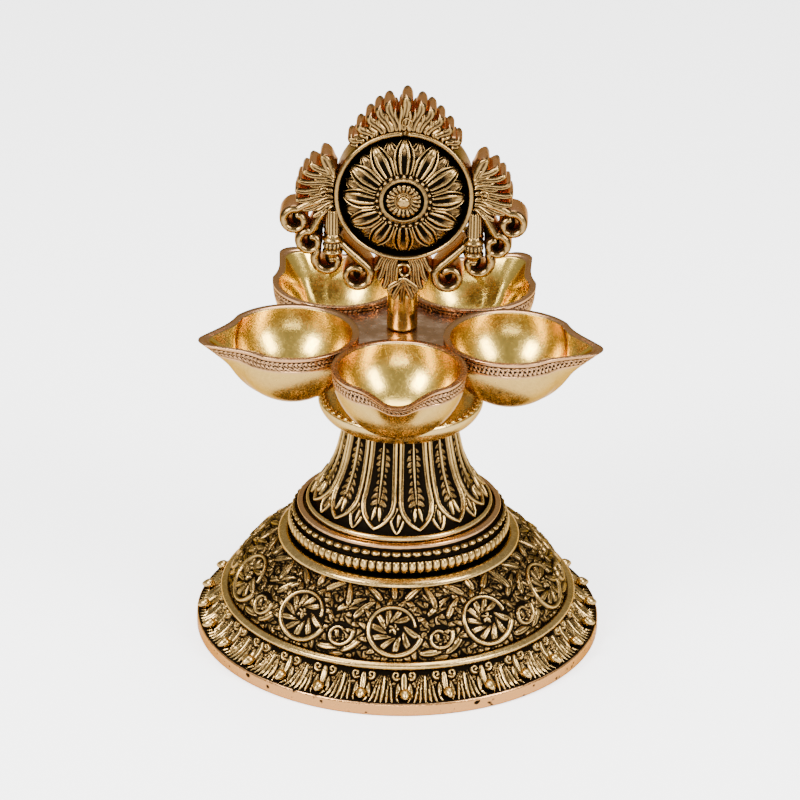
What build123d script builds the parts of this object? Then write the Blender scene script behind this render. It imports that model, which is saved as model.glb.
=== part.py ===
from build123d import *
import os
from math import acos, cos, degrees, pi, radians, sin, sqrt

# Five-cup brass oil lamp: a hollow bell base, a reeded collar, a leaf stem and a drip dish are
# clamped under a hub by one tie rod. Five spouted cups are brazed round the hub, and a lotus
# crest stands in the hub's socket, where it can be turned.
# Millimetres, +Z up. The origin is the middle of the circle that the foot stands on. The front
# cup's spout and the crest's face look along -Y.

# ---- Clearances ---------------------------------------------------------------------------
BRAZE_GAP = 0.05        # between pieces that are brazed together
RUN_GAP = 0.05          # radial, between the crest's tenon and the hub's socket
SEAM = 0.2              # between the crest's turning shoulder and the hub plate
ROD_GAP = 0.4           # radial, where the tie rod passes through a casting

# ---- Bell base ----------------------------------------------------------------------------
FOOT_R = 61.5
FOOT_H = 4.3
FOOT_RIM_W = 5.0        # width of the flat ring that the lamp stands on
FOOT_LEDGE_W = 1.5      # foot edge to the foot of the palmette border
BORDER_W = 7.2
RIDGE_Z = 12.25
DOME_TOP_LEDGE_W = 1.4  # how far the dome's top stands out past the collar's neck
DOME_TOP_Z = 31.7
CASTING_WALL = 2.6
DECK_T = 3.2
SPIGOT_H = 1.6

# ---- Collar ring --------------------------------------------------------------------------
COLLAR_BORE_R = 20.0
COLLAR_SHOULDER_W = 2.9
COLLAR_NECK_OUT = 0.6   # the neck and the belly stand out this far past the shoulder
COLLAR_BELLY_OUT = 1.4
COLLAR_H = 9.8
STEM_SEAT_DROP = 0.8    # the stem's foot sits this far below the collar's inner lip
LIP_W = 0.8
LIP_H = 1.4

# ---- Stem ---------------------------------------------------------------------------------
STEM_FOOT_R = 27.4
STEM_NECK_R = 17.3
STEM_H = 27.4
STEM_DECK_T = 3.0

# ---- Drip dish ----------------------------------------------------------------------------
DISH_R = 25.0
DISH_H = 7.8
DISH_FLOOR_T = 2.5

# ---- Hub ----------------------------------------------------------------------------------
HUB_FOOT_R = 11.0
PLATE_TIP_SHORT = 3.7   # the plate stops this far short of where two cups meet
HUB_PLATE_T = 2.6
HUB_H = 27.4
SOCKET_DEPTH = 12.0

# ---- Cups ---------------------------------------------------------------------------------
CUP_COUNT = 5
CUP_R = 20.0
CUP_DEPTH = 20.4
CUP_SIDE_GAP = 0.2      # between neighbouring bowls
SPOUT_L = 8.8           # from the bowl's circle to the tip of its spout
SPOUT_TIP_R = 1.6
SPOUT_SLOPE = 1.15      # how far the spout draws in for each unit down
CUP_WALL = 1.7
CUP_ABOVE_PLATE = 2.4

# ---- Tie rod and its fasteners ------------------------------------------------------------
ROD_R = 3.0
ROD_ENGAGE = 11.0       # length of rod screwed into the hub
ROD_TAIL = 2.5          # length of rod that shows below its nut
BRIDGE_R = 16.0
BRIDGE_T = 3.0
LOCK_WASHER_R = 5.5
LOCK_WASHER_T = 1.4
NUT_ACROSS_FLATS = 10.0
NUT_H = 5.0

# ---- Crest --------------------------------------------------------------------------------
PEG_R = 4.6
TENON_R = 3.8
TENON_L = 11.4
DISC_RISE = 44.6        # hub plate to the middle of the disc
DISC_R = 20.7
DISC_RIM_W = 1.6
DISC_T = 12.0
WEB_T = 5.2
FLAME_T = 11.0
POST_T = 10.0
LOTUS_RIM_GAP = 0.5
LOTUS_EDGE_T = 1.4
LOTUS_BOSS_R = 8.6
LOTUS_BOSS_H = 6.6
ROSETTE_R = 5.3
ROSETTE_T = 1.3
RIVET_R = 1.2
RIVET_HEAD_R = 1.9
RIVET_HEAD_H = 1.2

# ---- Sizes and levels that follow from the ones above --------------------------------------
BORDER_R = FOOT_R - FOOT_LEDGE_W
RIDGE_R = BORDER_R - BORDER_W
LIP_IN_R = STEM_FOOT_R + BRAZE_GAP
COLLAR_TOP_R = LIP_IN_R + LIP_W + COLLAR_SHOULDER_W
COLLAR_NECK_R = COLLAR_TOP_R + COLLAR_NECK_OUT
COLLAR_BELLY_R = COLLAR_TOP_R + COLLAR_BELLY_OUT
DOME_TOP_R = COLLAR_NECK_R + DOME_TOP_LEDGE_W
CUP_SPREAD_R = (CUP_R + CUP_SIDE_GAP / 2) / sin(pi / CUP_COUNT)
SPOUT_REACH = CUP_R + SPOUT_L
HUB_PLATE_R = CUP_SPREAD_R * cos(pi / CUP_COUNT) - PLATE_TIP_SHORT
LOTUS_R = DISC_R - DISC_RIM_W - LOTUS_RIM_GAP
COLLAR_TOP_Z = DOME_TOP_Z + COLLAR_H
STEM_SEAT_Z = COLLAR_TOP_Z + LIP_H - STEM_SEAT_DROP
DISH_Z = STEM_SEAT_Z + STEM_H
HUB_Z = DISH_Z + DISH_FLOOR_T
PLATE_Z = HUB_Z + HUB_H
CUP_RIM_Z = PLATE_Z + CUP_ABOVE_PLATE
DECK_Z = DOME_TOP_Z - DECK_T
DISC_Z = PLATE_Z + DISC_RISE
ROD_HOLE_R = ROD_R + ROD_GAP
DISC_AXIS = Axis((0, 0, DISC_Z), (0, 1, 0))
DISC_PLANE = Plane(origin=(0, 0, DISC_Z), x_dir=(1, 0, 0), z_dir=(0, -1, 0))

os.makedirs("parts", exist_ok=True)


def save(piece, name):
    """Label a finished piece and write it under its own name."""
    piece.part.label = name
    export_step(piece.part, f"parts/{name}.step")


def tapered(start, start_r, end, end_r):
    """Face of a rounded tongue that narrows from one circle to another."""
    run = Vector(*end) - Vector(*start)
    lean = degrees(acos((start_r - end_r) / run.length))
    with BuildSketch(mode=Mode.PRIVATE) as tongue:
        with BuildLine():
            root = ThreePointArc(
                PolarLine((0, 0), start_r, lean, mode=Mode.PRIVATE) @ 1,
                (-start_r, 0),
                PolarLine((0, 0), start_r, -lean, mode=Mode.PRIVATE) @ 1,
            )
            tip = ThreePointArc(
                PolarLine((run.length, 0), end_r, -lean, mode=Mode.PRIVATE) @ 1,
                (run.length + end_r, 0),
                PolarLine((run.length, 0), end_r, lean, mode=Mode.PRIVATE) @ 1,
            )
            Line(root @ 1, tip @ 0)
            Line(tip @ 1, root @ 0)
        make_face()
    angle = Vector(1, 0).get_signed_angle(run, Vector(0, 0, 1))
    return tongue.sketch.rotate(Axis.Z, angle).translate(Vector(*start))


def drop_outline(plane, radius, reach):
    """Drop-shaped section of a cup: a circle drawn out to a rounded tip."""
    with BuildSketch(plane) as outline:
        add(tapered((0, 0), radius, (reach - SPOUT_TIP_R, 0), SPOUT_TIP_R))
    return outline.sketch


def cup_form(place, shrink, floor):
    """Closed bowl and spout: the cup's outer form drawn in by shrink, with its floor raised."""
    depth = CUP_DEPTH - floor
    curve_depth = depth * 1.04
    sections = []
    for share in (0, 0.16, 0.33, 0.5, 0.68, 0.85, 1):
        down = share * depth
        bowl_r = (CUP_R - shrink) * sqrt(1 - (down / curve_depth) ** 2)
        spout = SPOUT_REACH - 1.5 * shrink - SPOUT_SLOPE * down
        reach = max(spout, bowl_r * 1.04)
        sections.append(drop_outline(place.offset(CUP_RIM_Z - down), bowl_r, reach))
    with BuildPart() as form:
        loft(sections=sections[::-1])
    return form.part


def cup_place(index):
    """Plane under a cup's bowl, with its X axis out along the spout. Cup 0 is the front one."""
    angle = radians(-90 + index * 360 / CUP_COUNT)
    outward = Vector(cos(angle), sin(angle))
    return Plane(origin=outward * CUP_SPREAD_R, x_dir=outward, z_dir=(0, 0, 1))


# ---- Bell base: foot rim, border, dome and a deck with a spigot, hollow below --------------
SPIGOT_R = COLLAR_BORE_R - BRAZE_GAP
with BuildPart() as base_dome:
    with BuildSketch(Plane.XZ):
        with BuildLine():
            Polyline(
                (FOOT_R - FOOT_RIM_W, 0),
                (FOOT_R, 0),
                (FOOT_R, FOOT_H),
                (BORDER_R, FOOT_H),
            )
            ThreePointArc(
                (BORDER_R, FOOT_H),
                ((BORDER_R + RIDGE_R) / 2 - 1.2, (FOOT_H + RIDGE_Z) / 2 - 1.0),
                (RIDGE_R, RIDGE_Z),
            )
            ThreePointArc(
                (RIDGE_R, RIDGE_Z),
                ((RIDGE_R + DOME_TOP_R) / 2 + 3.4, (RIDGE_Z + DOME_TOP_Z) / 2 + 3.2),
                (DOME_TOP_R, DOME_TOP_Z),
            )
            Polyline(
                (DOME_TOP_R, DOME_TOP_Z),
                (SPIGOT_R, DOME_TOP_Z),
                (SPIGOT_R, DOME_TOP_Z + SPIGOT_H),
                (ROD_HOLE_R, DOME_TOP_Z + SPIGOT_H),
                (ROD_HOLE_R, DECK_Z),
                (DOME_TOP_R - CASTING_WALL, DECK_Z),
            )
            ThreePointArc(
                (DOME_TOP_R - CASTING_WALL, DECK_Z),
                ((RIDGE_R + DOME_TOP_R) / 2 + 1.2, (RIDGE_Z + DOME_TOP_Z) / 2 + 0.4),
                (RIDGE_R - CASTING_WALL, RIDGE_Z - CASTING_WALL),
            )
            Polyline(
                (RIDGE_R - CASTING_WALL, RIDGE_Z - CASTING_WALL),
                (FOOT_R - FOOT_RIM_W, FOOT_H - 1),
                (FOOT_R - FOOT_RIM_W, 0),
            )
        make_face()
    revolve(axis=Axis.Z)
save(base_dome, "base_dome")

# ---- Collar ring: a neck groove, a belly for the reeds and beads, a lip round the stem ------
with BuildPart() as collar_ring:
    with BuildSketch(Plane.XZ):
        with BuildLine():
            Polyline(
                (COLLAR_BORE_R, DOME_TOP_Z),
                (COLLAR_NECK_R, DOME_TOP_Z),
                (COLLAR_NECK_R, DOME_TOP_Z + 1.4),
                (COLLAR_BELLY_R, DOME_TOP_Z + 2.4),
            )
            ThreePointArc(
                (COLLAR_BELLY_R, DOME_TOP_Z + 2.4),
                (COLLAR_BELLY_R, (DOME_TOP_Z + COLLAR_TOP_Z) / 2 + 0.6),
                (COLLAR_TOP_R, COLLAR_TOP_Z),
            )
            Polyline(
                (COLLAR_TOP_R, COLLAR_TOP_Z),
                (LIP_IN_R + LIP_W, COLLAR_TOP_Z),
                (LIP_IN_R + LIP_W, COLLAR_TOP_Z + LIP_H),
                (LIP_IN_R, COLLAR_TOP_Z + LIP_H),
                (LIP_IN_R, STEM_SEAT_Z),
                (COLLAR_BORE_R, STEM_SEAT_Z),
                (COLLAR_BORE_R, DOME_TOP_Z),
            )
        make_face()
    revolve(axis=Axis.Z)
save(collar_ring, "collar_ring")

# ---- Stem: hollow trumpet that flares to its foot and is closed by a deck at the neck -------
FLARE = STEM_FOOT_R - STEM_NECK_R
with BuildPart() as stem:
    with BuildSketch(Plane.XZ):
        with BuildLine():
            Spline(
                (STEM_FOOT_R, STEM_SEAT_Z),
                (STEM_NECK_R + 0.76 * FLARE, STEM_SEAT_Z + 0.17 * STEM_H),
                (STEM_NECK_R + 0.37 * FLARE, STEM_SEAT_Z + 0.42 * STEM_H),
                (STEM_NECK_R + 0.1 * FLARE, STEM_SEAT_Z + 0.75 * STEM_H),
                (STEM_NECK_R, DISH_Z),
            )
            Polyline(
                (STEM_NECK_R, DISH_Z),
                (ROD_HOLE_R, DISH_Z),
                (ROD_HOLE_R, DISH_Z - STEM_DECK_T),
                (STEM_NECK_R - CASTING_WALL, DISH_Z - STEM_DECK_T),
            )
            Spline(
                (STEM_NECK_R - CASTING_WALL, DISH_Z - STEM_DECK_T),
                (STEM_NECK_R + 0.37 * FLARE - CASTING_WALL, STEM_SEAT_Z + 0.4 * STEM_H),
                (STEM_FOOT_R - CASTING_WALL, STEM_SEAT_Z),
            )
            Line((STEM_FOOT_R - CASTING_WALL, STEM_SEAT_Z), (STEM_FOOT_R, STEM_SEAT_Z))
        make_face()
    revolve(axis=Axis.Z)
save(stem, "stem")

# ---- Drip dish: a shallow saucer clamped between the stem and the hub -----------------------
with BuildPart() as drip_dish:
    with BuildSketch(Plane.XZ):
        with BuildLine():
            Line((ROD_HOLE_R, DISH_Z), (STEM_NECK_R, DISH_Z))
            ThreePointArc(
                (STEM_NECK_R, DISH_Z),
                (STEM_NECK_R + 0.72 * (DISH_R - STEM_NECK_R), DISH_Z + 0.28 * DISH_H),
                (DISH_R, DISH_Z + DISH_H - 1.2),
            )
            ThreePointArc(
                (DISH_R, DISH_Z + DISH_H - 1.2),
                (DISH_R - 0.8, DISH_Z + DISH_H),
                (DISH_R - 1.6, DISH_Z + DISH_H - 1.2),
            )
            ThreePointArc(
                (DISH_R - 1.6, DISH_Z + DISH_H - 1.2),
                (STEM_NECK_R + 0.5 * (DISH_R - STEM_NECK_R), DISH_Z + 0.45 * DISH_H),
                (STEM_NECK_R - 1.5, HUB_Z),
            )
            Polyline((STEM_NECK_R - 1.5, HUB_Z), (ROD_HOLE_R, HUB_Z), (ROD_HOLE_R, DISH_Z))
        make_face()
    revolve(axis=Axis.Z)
save(drip_dish, "drip_dish")

# ---- Hub: a boss that opens into a flat plate, with a saddle cut for each cup ----------------
SADDLES = [cup_form(cup_place(index), -BRAZE_GAP, -BRAZE_GAP) for index in range(CUP_COUNT)]
with BuildPart() as hub:
    with BuildSketch(Plane.XZ):
        with BuildLine():
            Polyline(
                (ROD_R + BRAZE_GAP, HUB_Z),
                (HUB_FOOT_R, HUB_Z),
                (HUB_FOOT_R, HUB_Z + 0.3 * HUB_H),
                (HUB_PLATE_R, PLATE_Z - HUB_PLATE_T),
                (HUB_PLATE_R, PLATE_Z),
                (TENON_R + RUN_GAP, PLATE_Z),
                (TENON_R + RUN_GAP, PLATE_Z - SOCKET_DEPTH),
                (0, PLATE_Z - SOCKET_DEPTH),
                (0, HUB_Z + ROD_ENGAGE + BRAZE_GAP),
                (ROD_R + BRAZE_GAP, HUB_Z + ROD_ENGAGE + BRAZE_GAP),
                (ROD_R + BRAZE_GAP, HUB_Z),
            )
        make_face()
    revolve(axis=Axis.Z)
    add(SADDLES, mode=Mode.SUBTRACT)
save(hub, "hub")

# ---- Cups: five spouted bowls with a flat rim -----------------------------------------------
CUP_NAMES = ("cup_front", "cup_right", "cup_back_right", "cup_back_left", "cup_left")
for index, cup_name in enumerate(CUP_NAMES):
    bowl = cup_form(cup_place(index), 0, 0)
    hollow = cup_form(cup_place(index), CUP_WALL, CUP_WALL)
    with BuildPart() as cup:
        add(bowl)
        add(hollow, mode=Mode.SUBTRACT)
    save(cup, cup_name)

# ---- Tie rod, bridge, lock washer and nut ----------------------------------------------------
BRIDGE_Z = DECK_Z - BRIDGE_T
LOCK_Z = BRIDGE_Z - LOCK_WASHER_T
NUT_Z = LOCK_Z - NUT_H
with BuildPart() as tie_rod:
    with BuildSketch(Plane.XY.offset(NUT_Z - ROD_TAIL)):
        Circle(ROD_R)
    extrude(amount=HUB_Z + ROD_ENGAGE - (NUT_Z - ROD_TAIL))
    chamfer(tie_rod.faces().sort_by(Axis.Z)[0].edges(), 0.6)
save(tie_rod, "tie_rod")

with BuildPart() as bridge_washer:
    with BuildSketch(Plane.XY.offset(BRIDGE_Z)):
        Circle(BRIDGE_R)
        Circle(ROD_HOLE_R, mode=Mode.SUBTRACT)
    extrude(amount=BRIDGE_T)
    chamfer(bridge_washer.faces().sort_by(Axis.Z)[0].outer_wire().edges(), 0.8)
save(bridge_washer, "bridge_washer")

with BuildPart() as lock_washer:
    with BuildSketch(Plane.XY.offset(LOCK_Z)):
        Circle(LOCK_WASHER_R)
        Circle(ROD_HOLE_R, mode=Mode.SUBTRACT)
        with Locations(((LOCK_WASHER_R + ROD_HOLE_R) / 2, 0)):
            Rectangle(LOCK_WASHER_R, 0.7, rotation=20, mode=Mode.SUBTRACT)
    extrude(amount=LOCK_WASHER_T)
save(lock_washer, "lock_washer")

with BuildPart() as rod_nut:
    with BuildSketch(Plane.XY.offset(NUT_Z)):
        RegularPolygon(NUT_ACROSS_FLATS / 2, 6, major_radius=False)
        Circle(ROD_R + BRAZE_GAP, mode=Mode.SUBTRACT)
    extrude(amount=NUT_H)
save(rod_nut, "rod_nut")

# ---- Crest post: round peg and tenon below, a fan of leaves that cradles the disc ------------
PEG_FOOT_Z = PLATE_Z + SEAM
PEG_TOP_RISE = 12.6
LEAF_TOP_RISE = DISC_RISE - DISC_R
with BuildPart() as crest_post:
    with BuildSketch(Plane.XY.offset(PEG_FOOT_Z - TENON_L)):
        Circle(TENON_R)
    extrude(amount=TENON_L)
    with BuildSketch(Plane.XY.offset(PEG_FOOT_Z)):
        Circle(PEG_R)
    extrude(amount=PEG_TOP_RISE)
    with BuildSketch(Plane(origin=(0, 0, PLATE_Z), x_dir=(1, 0, 0), z_dir=(0, -1, 0))):
        add(tapered((0, 9.5), PEG_R - 1.2, (0, LEAF_TOP_RISE), PEG_R - 1.5))
        for side in (-1, 1):
            add(tapered((side * 1.8, 13.4), 2.7, (side * 4.7, LEAF_TOP_RISE), 2.4))
            add(tapered((side * 4.0, 18.0), 1.8, (side * 6.9, LEAF_TOP_RISE + 0.4), 1.1))
        with Locations((0, DISC_RISE)):
            Circle(DISC_R + BRAZE_GAP, mode=Mode.SUBTRACT)
    extrude(amount=POST_T / 2, both=True)
save(crest_post, "crest_post")

# ---- Crest disc: a rim round a web that carries the flower on both faces ---------------------
with BuildPart() as crest_ring:
    with BuildSketch(DISC_PLANE):
        Circle(DISC_R)
        Circle(DISC_R - DISC_RIM_W, mode=Mode.SUBTRACT)
    extrude(amount=DISC_T / 2, both=True)
    fillet(crest_ring.edges().filter_by(GeomType.CIRCLE), DISC_RIM_W / 4)
    with BuildSketch(DISC_PLANE):
        Circle(DISC_R - DISC_RIM_W / 2)
        Circle(RIVET_R + BRAZE_GAP, mode=Mode.SUBTRACT)
    extrude(amount=WEB_T / 2, both=True)
save(crest_ring, "crest_ring")

# ---- Flower: a domed lotus and a small rosette on each face, held by one rivet ----------------
PETAL_COUNT = 12
ROSETTE_SCALLOPS = 20
LOTUS_Y = WEB_T / 2 + BRAZE_GAP
ROSETTE_Y = LOTUS_Y + LOTUS_BOSS_H + BRAZE_GAP


def petal(tip_r, half_width, widest_r):
    """Pointed leaf shape along +X from the middle of the flower."""
    with BuildSketch(mode=Mode.PRIVATE) as leaf:
        with BuildLine():
            ThreePointArc((0, 0), (widest_r, half_width), (tip_r, 0))
            ThreePointArc((tip_r, 0), (widest_r, -half_width), (0, 0))
        make_face()
    return leaf.sketch


BIG_PETAL = petal(LOTUS_R, 3.1, LOTUS_R * 0.62)
SMALL_PETAL = petal(LOTUS_R - 1.9, 2.6, LOTUS_R * 0.6)
for face_name, outward in (("front", -1), ("back", 1)):
    section = Plane(origin=(0, 0, DISC_Z), x_dir=(1, 0, 0), z_dir=(0, 0, outward))
    face_plane = Plane(origin=(0, 0, DISC_Z), x_dir=(1, 0, 0), z_dir=(0, outward, 0))
    with BuildPart() as lotus:
        with BuildSketch(section):
            with BuildLine():
                Polyline(
                    (RIVET_R + BRAZE_GAP, LOTUS_Y + LOTUS_BOSS_H),
                    (RIVET_R + BRAZE_GAP, LOTUS_Y),
                    (LOTUS_R, LOTUS_Y),
                    (LOTUS_R, LOTUS_Y + LOTUS_EDGE_T),
                )
                ThreePointArc(
                    (LOTUS_R, LOTUS_Y + LOTUS_EDGE_T),
                    ((LOTUS_R + LOTUS_BOSS_R) / 2, LOTUS_Y + 0.72 * LOTUS_BOSS_H),
                    (LOTUS_BOSS_R, LOTUS_Y + LOTUS_BOSS_H),
                )
                Line(
                    (LOTUS_BOSS_R, LOTUS_Y + LOTUS_BOSS_H),
                    (RIVET_R + BRAZE_GAP, LOTUS_Y + LOTUS_BOSS_H),
                )
            make_face()
        revolve(axis=DISC_AXIS)
        with BuildSketch(face_plane.offset(LOTUS_Y)):
            Circle(LOTUS_BOSS_R)
            with PolarLocations(0, PETAL_COUNT, start_angle=90):
                add(BIG_PETAL)
            with PolarLocations(0, PETAL_COUNT, start_angle=90 + 180 / PETAL_COUNT):
                add(SMALL_PETAL)
        extrude(amount=LOTUS_BOSS_H, mode=Mode.INTERSECT)
    save(lotus, f"lotus_{face_name}")

    with BuildPart() as rosette:
        with BuildSketch(face_plane.offset(ROSETTE_Y)):
            Circle(ROSETTE_R - 0.5)
            with PolarLocations(ROSETTE_R - 0.7, ROSETTE_SCALLOPS):
                Circle(0.7)
            Circle(RIVET_R + BRAZE_GAP, mode=Mode.SUBTRACT)
        extrude(amount=ROSETTE_T)
    save(rosette, f"rosette_{face_name}")

HEAD_Y = ROSETTE_Y + ROSETTE_T + BRAZE_GAP
with BuildPart() as centre_rivet:
    with BuildSketch(DISC_PLANE):
        Circle(RIVET_R)
    extrude(amount=HEAD_Y, both=True)
    for outward in (-1, 1):
        with BuildSketch(Plane(origin=(0, outward * HEAD_Y, DISC_Z), z_dir=(0, outward, 0))):
            Circle(RIVET_HEAD_R)
        extrude(amount=RIVET_HEAD_H)
    crowns = centre_rivet.faces().sort_by(Axis.Y)
    fillet(crowns[0].edges() + crowns[-1].edges(), RIVET_HEAD_H * 0.85)
save(centre_rivet, "centre_rivet")

# ---- Top flames: eleven tongues that stand on the disc's rim, longest in the middle ----------
FLAME_ANGLES = (0, 8.4, 14.5, 21.5, 30.5, 41.0)
FLAME_RISES = (10.9, 9.4, 8.2, 6.6, 5.0, 3.6)
FLAME_ROOT_W = 2.4
FLAME_TIP_W = 1.0
with BuildPart() as top_flames:
    with BuildSketch(DISC_PLANE):
        for angle, rise in zip(FLAME_ANGLES, FLAME_RISES):
            for side in (-1, 1):
                turn = radians(90 + side * angle)
                way = Vector(cos(turn), sin(turn))
                root = way * DISC_R
                tip = way * (DISC_R + rise - FLAME_TIP_W)
                add(tapered((root.X, root.Y), FLAME_ROOT_W, (tip.X, tip.Y), FLAME_TIP_W))
        Circle(DISC_R + BRAZE_GAP, mode=Mode.SUBTRACT)
    extrude(amount=FLAME_T / 2, both=True)
save(top_flames, "top_flames")

# ---- Torches: a turned shaft, a banded cup and a cone, two on each face ----------------------
TORCH_X = DISC_R + 0.2
TORCH_Y = 4.6
SHAFT_R = 1.9
BAND_R = 3.2
TORCH_TOP = -5.2        # heights here are measured from the middle of the disc
BAND_TOP = -14.0
BAND_FOOT = -18.8
CONE_FOOT = -22.3


def torch_form(side, outward, grow):
    """A torch, made larger all round by grow."""
    place = Plane(
        origin=(side * TORCH_X, outward * TORCH_Y, DISC_Z), x_dir=(1, 0, 0), z_dir=(0, -1, 0)
    )
    with BuildPart() as torch:
        with BuildSketch(place):
            with BuildLine():
                Polyline(
                    (0, CONE_FOOT - grow),
                    (0.6 + grow, CONE_FOOT - grow),
                    (2.2 + grow, BAND_FOOT - 0.4),
                    (BAND_R + grow, BAND_FOOT - grow),
                    (BAND_R + grow, BAND_TOP + grow),
                    (2.4 + grow, BAND_TOP + 0.6 + grow),
                    (SHAFT_R + grow, BAND_TOP + 1.2 + grow),
                    (SHAFT_R + grow, TORCH_TOP + grow),
                    (0, TORCH_TOP + grow),
                    (0, CONE_FOOT - grow),
                )
            make_face()
        revolve(axis=Axis(place.origin, (0, 0, 1)))
    return torch.part


# ---- Wings: a fan of flames over four ribbon scrolls, one wing each side of the disc ---------
# Places are measured from the disc's outermost point, X outwards and Y up.
FAN_ROOT = (2.9, 2.0)
FAN_ROOT_W = 3.8
FAN_TIPS = (
    (3.3, 11.2, 1.5),
    (7.5, 9.2, 1.0),
    (9.7, 7.2, 1.0),
    (10.7, 3.4, 1.0),
    (11.0, 0.2, 1.0),
    (10.3, -2.9, 1.0),
)
SCROLLS = ((11.7, -7.0, 3.9), (7.2, -15.4, 3.6), (0.8, -21.9, 4.8), (-7.2, -26.4, 4.0))
RIBBON_W = 1.9
LINKS = (
    ((6.3, -1.0), (10.3, -4.4)),
    ((1.9, -1.0), (1.9, -18.2)),
    ((6.1, -3.0), (5.7, -12.6)),
    ((9.3, -9.8), (8.2, -12.4)),
    ((4.5, -18.4), (3.9, -18.8)),
    ((-3.1, -24.2), (-3.9, -24.6)),
    ((-4.1, -24.0), (-3.7, -15.8)),
    ((-3.7, -15.8), (1.3, -10.0)),
)
LINK_W = 1.1


def beside_disc(side, point):
    """A place on a wing, measured from the middle of the disc."""
    return side * (DISC_R + point[0]), point[1]


for wing_name, side in (("wing_left", -1), ("wing_right", 1)):
    pockets = [torch_form(side, outward, BRAZE_GAP) for outward in (-1, 1)]
    with BuildPart() as wing:
        with BuildSketch(DISC_PLANE):
            for tip_x, tip_z, tip_w in FAN_TIPS:
                root = beside_disc(side, FAN_ROOT)
                add(tapered(root, FAN_ROOT_W, beside_disc(side, (tip_x, tip_z)), tip_w))
            for scroll_x, scroll_z, scroll_r in SCROLLS:
                with Locations(beside_disc(side, (scroll_x, scroll_z))):
                    Circle(scroll_r)
            for scroll_x, scroll_z, scroll_r in SCROLLS:
                with Locations(beside_disc(side, (scroll_x, scroll_z))):
                    Circle(scroll_r - RIBBON_W, mode=Mode.SUBTRACT)
            for start, end in LINKS:
                add(tapered(beside_disc(side, start), LINK_W, beside_disc(side, end), LINK_W))
            Circle(DISC_R + BRAZE_GAP, mode=Mode.SUBTRACT)
        extrude(amount=FLAME_T / 2, both=True)
        add(pockets, mode=Mode.SUBTRACT)
    save(wing, wing_name)

for side_name, side in (("left", -1), ("right", 1)):
    for face_name, outward in (("front", -1), ("back", 1)):
        whole_torch = torch_form(side, outward, 0)
        with BuildPart() as torch:
            add(whole_torch)
            with BuildSketch(DISC_PLANE):
                Circle(DISC_R + BRAZE_GAP)
            extrude(amount=DISC_T, both=True, mode=Mode.SUBTRACT)
        save(torch, f"torch_{face_name}_{side_name}")
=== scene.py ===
import math
import random

import bpy
import numpy as np
from mathutils import Matrix, Vector


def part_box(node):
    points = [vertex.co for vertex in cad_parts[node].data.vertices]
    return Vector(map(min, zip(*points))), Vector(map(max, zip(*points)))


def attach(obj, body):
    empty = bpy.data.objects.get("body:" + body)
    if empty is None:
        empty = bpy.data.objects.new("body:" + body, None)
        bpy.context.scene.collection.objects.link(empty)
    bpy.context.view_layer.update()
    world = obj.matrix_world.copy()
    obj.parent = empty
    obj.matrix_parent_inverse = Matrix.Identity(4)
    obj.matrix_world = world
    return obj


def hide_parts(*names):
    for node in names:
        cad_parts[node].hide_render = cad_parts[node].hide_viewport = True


# A five-cup brass prayer lamp. The base, collar, stem and flower are relief castings: each is a
# ring whose surface is raised or sunk by a height worked out from its place round the lamp. The
# flames, wings and hanging leaves of the crest are strands, which are balls drawn out.
# Lengths in this script are millimetres until a shape is set, when they become metres.
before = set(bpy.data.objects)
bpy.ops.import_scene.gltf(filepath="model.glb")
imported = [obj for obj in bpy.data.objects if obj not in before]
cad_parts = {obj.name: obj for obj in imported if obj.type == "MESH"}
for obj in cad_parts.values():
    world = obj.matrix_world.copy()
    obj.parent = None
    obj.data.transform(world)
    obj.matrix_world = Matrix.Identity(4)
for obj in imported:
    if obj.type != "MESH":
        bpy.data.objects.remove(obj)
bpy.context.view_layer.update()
bpy.ops.object.select_all(action="DESELECT")
METRE = 0.001
TAU = 2 * math.pi


def span(node):
    """Lowest and highest corner of a CAD piece, in millimetres."""
    low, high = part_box(node)
    return np.array(low) / METRE, np.array(high) / METRE


# ---- Sizes that come from the frame --------------------------------------------------
cup_low, cup_high = span("cup_front")
ring_low, ring_high = span("crest_ring")
FOOT_R = span("base_dome")[1][0]
DISC_Z = (ring_low[2] + ring_high[2]) / 2
DISC_R = ring_high[0]
DISC_HALF_T = ring_high[1]
FLAME_HALF_T = span("top_flames")[1][1]
PLATE_Z = span("hub")[1][2]
CUP_RIM_Z = cup_high[2]


# ---- Shape helpers -------------------------------------------------------------------
def ease(low, high, value):
    """0 below low, 1 above high, and smooth between."""
    share = np.clip((value - low) / (high - low), 0, 1)
    return share * share * (3 - 2 * share)


def cord(distance, half_width):
    """Height of a half-round moulding at this distance from its middle line."""
    return np.sqrt(np.clip(1 - (distance / half_width) ** 2, 0, 1))


CURVE_STEPS = 24


def curve_through(points, steps):
    """Evenly spaced points on a smooth curve through the given ones."""
    knots = np.array(points, float)
    ends = np.vstack([2 * knots[0] - knots[1], knots, 2 * knots[-1] - knots[-2]])
    fine = []
    for i in range(len(knots) - 1):
        a, b, c, d = ends[i:i + 4]
        for t in np.linspace(0, 1, CURVE_STEPS, endpoint=False):
            fine.append(
                0.5 * (2 * b + (c - a) * t + (2 * a - 5 * b + 4 * c - d) * t ** 2
                       + (3 * b - a - 3 * c + d) * t ** 3)
            )
    fine = np.array(fine + [knots[-1]])
    run = np.concatenate([[0], np.cumsum(np.linalg.norm(np.diff(fine, axis=0), axis=1))])
    where = np.linspace(0, run[-1], steps)
    return np.column_stack([np.interp(where, run, fine[:, k]) for k in range(fine.shape[1])])


def outline(*parts):
    """A line made of curves, each given as points and steps, and the row after each curve."""
    curves = [curve_through(points, steps) for points, steps in parts]
    return np.vstack(curves), np.cumsum([len(curve) for curve in curves])


def ripples(turn, count, sharpness):
    """Even bumps round a ring, 0 to 1. A low sharpness makes them broad."""
    return np.abs(np.cos(turn * count / 2)) ** sharpness


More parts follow.
